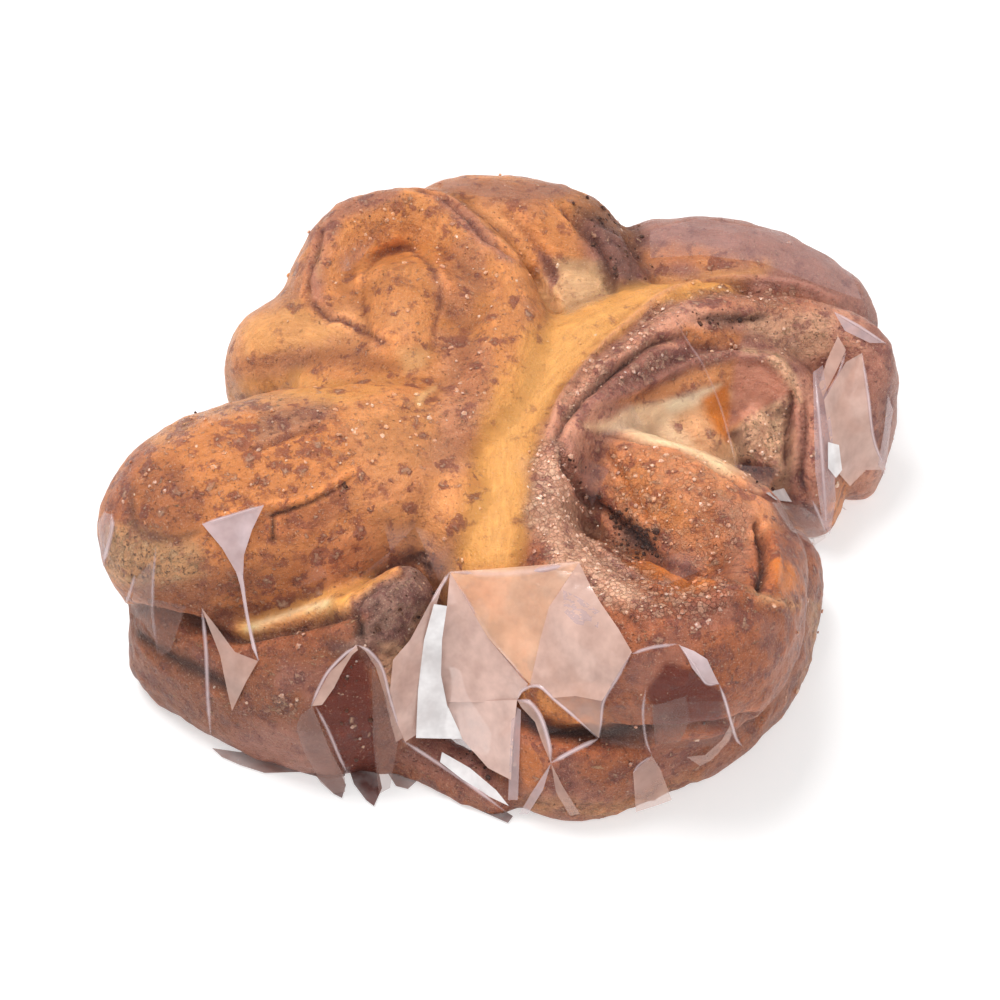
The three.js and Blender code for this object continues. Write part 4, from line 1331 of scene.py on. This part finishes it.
def split_triangle(cuts):
    """Shares of the three corners at the places of a triangle cut into cuts x cuts, and its triangles."""
    rows = [(i, j) for i in range(cuts + 1) for j in range(cuts + 1 - i)]
    number = {place: k for k, place in enumerate(rows)}
    shares = np.array([(1 - (i + j) / cuts, i / cuts, j / cuts) for i, j in rows])
    faces = []
    for i, j in rows:
        if i + j < cuts:
            faces.append((number[i, j], number[i + 1, j], number[i, j + 1]))
        if i + j < cuts - 1:
            faces.append((number[i + 1, j], number[i + 1, j + 1], number[i, j + 1]))
    return shares, np.array(faces)


class Sheets:
    """Collects thin pieces of film with how milky each place is."""

    def __init__(self):
        self.vertices, self.faces, self.haze, self.tint, self.count = [], [], [], [], 0

    def add(self, vertices, faces, haze, tint="lilac"):
        self.faces.append(np.asarray(faces) + self.count)
        self.vertices.append(vertices)
        self.haze.append(np.broadcast_to(haze, len(vertices)))
        self.tint.append(np.tile(linear(TINTS[tint]), (len(vertices), 1)))
        self.count += len(vertices)

    def object(self, name):
        obj = new_object(name, np.vstack(self.vertices), np.vstack(self.faces))
        set_values(obj.data, "haze", np.concatenate(self.haze))
        set_colours(obj.data, np.vstack(self.tint))
        return obj


def above_bun(places, least):
    """Places moved out of the bun where they lie in it, and how far above it they were."""
    moved, gap = places.copy(), np.zeros(len(places))
    for i, place in enumerate(places):
        near, normal, _, _ = bun_tree.find_nearest(Vector(place))
        gap[i] = (Vector(place) - near).dot(normal)
        if gap[i] < least:
            moved[i] = near + normal * least
    return moved, gap


def clouds(places, mean, swing, *noise):
    return mean + swing * layered_noise(places, *noise)


def add_crease(line, out, half_width, haze):
    """A crease: a narrow raised strip along a line, fading at its sides and ends."""
    if len(line) < 2:
        return
    share = np.linspace(0, 1, len(line))
    taper = np.minimum(1, CREASE_END + 4 * np.minimum(share, 1 - share))[:, None]
    side = unit(np.cross(np.gradient(line, axis=0), out)) * half_width * taper
    rows = [line - side, line + out * half_width * CREASE_RISE * taper, line + side]
    start = np.arange(len(line) - 1)[:, None] * 3
    faces = np.concatenate([start + corner for corner in ((0, 1, 4), (0, 4, 3), (1, 2, 5), (1, 5, 4))])
    edge = np.full(len(line), CREASE_EDGE)
    fade = np.stack([edge, taper[:, 0], edge], 1).ravel()
    film.add(np.stack(rows, 1).reshape(-1, 3), faces, haze * fade)


def add_taut_film():
    """The film as flat facets over the gaps between the folds."""
    shares, small_faces = split_triangle(FACET_CUTS)
    places = np.einsum("sk,fkx->fsx", shares, facet_corners).reshape(-1, 3)
    places, gap = above_bun(places, FILM_GAP * MM)
    count = len(facets)
    milk = np.where(RNG.random(count) < MILKY_SHARE, RNG.uniform(*MILKY, count), RNG.uniform(*CLEAR, count))
    milk *= np.where(facet_seen, MILK_UNDER_DRAWN, 1.0)
    haze = np.repeat(milk, len(shares)) * smoothstep(HAZE_FROM * MM, HAZE_TO * MM, gap)
    haze = np.clip(haze * clouds(places, *TAUT_CLOUDS), LEAST_HAZE, 1)
    for start in range(0, len(places), len(shares)):
        part = slice(start, start + len(shares))
        if gap[part].max() > FACET_BRIDGE * MM:
            film.add(places[part], small_faces, haze[part])


def add_taut_creases():
    """Creases along some edges between taut facets, where no drawn ones take their place."""
    sides = {}
    for number, facet in enumerate(facets):
        for a, b in zip(facet, np.roll(facet, -1)):
            sides.setdefault((min(a, b), max(a, b)), []).append(number)
    for (a, b), pair in sides.items():
        if len(pair) < 2 or facet_seen[pair[0]] or facet_seen[pair[1]]:
            continue
        first, second = facet_normals[pair[0]], facet_normals[pair[1]]
        if first @ second > FLAT_EDGE or RNG.random() < NO_CREASE:
            continue
        start, end = corner_places[a], corner_places[b]
        line = start + np.linspace(0, 1, CREASE_PLACES)[:, None] * (end - start)
        line, gap = above_bun(line, FACET_GAP * MM)
        if gap.max() > CREASE_BRIDGE * MM and line[:, 2].max() > CREASE_HEIGHT * MM:
            out = np.tile(unit((first + second)[None]), (len(line), 1))
            add_crease(line, out, RNG.uniform(*CREASE_WIDTHS) * MM, RNG.uniform(*CREASE_MILK))


def add_facet(outline, tint, milkiness, on_table=False):
    """A flat facet of film inside an outline, kept just outside the bun's surface or on the table."""
    corners = np.asarray(outline, float)
    hits = [view.table_hit(pixel) if on_table else view.hit(taut_tree, pixel) for pixel in corners]
    known = np.array([(*pixel, 1, (place - view.eye) @ view.ray(pixel))
                      for place, pixel in zip(hits, corners) if place is not None])
    plane = np.linalg.lstsq(known[:, :3], known[:, 3], rcond=None)[0]
    lift = GLARE_LIFT * MM if tint == "glare" else 0
    places, faces = [], []
    for triangle in tessellate_polygon([[Vector((x, y, 0)) for x, y in outline]]):
        triangle = corners[list(triangle)]
        shares, small = split_triangle(max(2, int(np.ptp(triangle, axis=0).max() / FACET_STEP)))
        faces.append(small + len(places))
        for pixel in shares @ triangle:
            depth = plane @ (*pixel, 1) - lift
            support = None if on_table else view.hit(taut_tree, pixel)
            if support is not None:
                depth = min(depth, (support - view.eye) @ view.ray(pixel) - FACET_GAP * MM)
            places.append(view.eye + view.ray(pixel) * depth)
    places = np.array(places)
    places[:, 2] = np.maximum(places[:, 2], FILM_FLOOR * MM)
    _, first, welded = np.unique(places.round(6), axis=0, return_index=True, return_inverse=True)
    places = places[first]
    haze = np.clip(milkiness * clouds(places, *DRAWN_CLOUDS), 0, 1)
    film.add(places, welded.ravel()[np.vstack(faces)], haze, tint)


def film_material():
    n = Nodes("clear_film", {"Roughness": 0.16, "Specular IOR Level": 0.6})
    cloud = n.noise(0.25, 3.0, 0.6)
    tint = n.attribute("paint", "Color")
    n.link(n.mix(n.ramp(cloud, 0.35, 0.7), tint, n.tinted(tint, (1.12, 1.14, 1.14))), "Base Color")
    n.link(n.times(n.attribute("haze"), n.ramp(cloud, 0.3, 0.7, 0.85, 1.1)), "Alpha")
    return n.material


outer_skin = offset_surface(points, quads, FILM_REACH)
film_points, film_quads = offset_surface(*outer_skin, FILM_LIFT - FILM_REACH)
film_points[:, 2] = np.maximum(film_points[:, 2], 0)
taut_tree = tree_of(film_points, film_quads)
coarse = modified_mesh(new_object("taut", film_points, film_quads), "DECIMATE",
                       ratio=FILM_FACETS / (2 * len(film_quads)), use_collapse_triangulate=True)
corner_places, facets = read(coarse.vertices, "co", 3), faces_of(coarse, 3)
facet_corners = corner_places[facets]
facet_normals = unit(np.cross(facet_corners[:, 1] - facet_corners[:, 0],
                              facet_corners[:, 2] - facet_corners[:, 0]))
outward = np.sign((facet_normals * (facet_corners.mean(1) - points.mean(0))).sum(1)).mean()
facet_normals *= np.sign(outward)
facet_seen = view.visible(bun_tree, facet_corners.mean(1), facet_normals)

film = Sheets()
add_taut_film()
add_taut_creases()
for tint, milkiness, outline in FACETS.values():
    add_facet(outline, tint, milkiness)
for tint, milkiness, outline in HEM.values():
    add_facet(outline, tint, milkiness, on_table=True)
for milkiness, half_width, path in CREASES.values():
    line = view.draped(taut_tree, path)
    out = unit(view.eye - line)
    add_crease(line + out * CREASE_LIFT * MM, out, half_width * MM, milkiness)
film_piece = film.object("clear_film")
film_piece.data.materials.append(film_material())
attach(film_piece, "root")


# ---------------------------------------------------------------- camera, floor and light
def add_camera():
    data = bpy.data.cameras.new("camera")
    data.lens = LENS
    data.sensor_width = SENSOR
    data.clip_start = 0.01
    camera = linked("camera", data)
    camera.location = view.eye
    camera.rotation_euler = Vector(view.forward).to_track_quat("-Z", "Y").to_euler()
    bpy.context.scene.camera = camera


def add_floor(half, colour, glow):
    corners = [(-half, -half, 0), (half, -half, 0), (half, half, 0), (-half, half, 0)]
    floor = new_object("floor", corners, [(0, 1, 2, 3)])
    floor.location.z = -0.1 * MM
    floor.data.materials.append(Nodes("floor", {
        "Base Color": colour, "Emission Color": (1, 1, 1, 1), "Emission Strength": glow}).material)


def add_light(name, place, size, power):
    data = bpy.data.lights.new(name, "AREA")
    data.size = size
    data.energy = power
    light = linked(name, data)
    light.location = place
    light.rotation_euler = (-Vector(place)).to_track_quat("-Z", "Y").to_euler()


def add_world(strength):
    world = bpy.data.worlds.new("world")
    bpy.context.scene.world = world
    world.use_nodes = True
    sky = world.node_tree.nodes["Background"].inputs
    sky["Color"].default_value = (1, 1, 1, 1)
    sky["Strength"].default_value = strength


add_camera()
add_floor(2, (0.6, 0.6, 0.6, 1), 0.52)
add_light("key", (-0.3, 0.15, 0.95), 0.5, 8.6)
add_light("fill", (0.5, -0.6, 0.6), 0.8, 2.4)
add_world(0.5)
bpy.context.scene.view_settings.view_transform = "Standard"
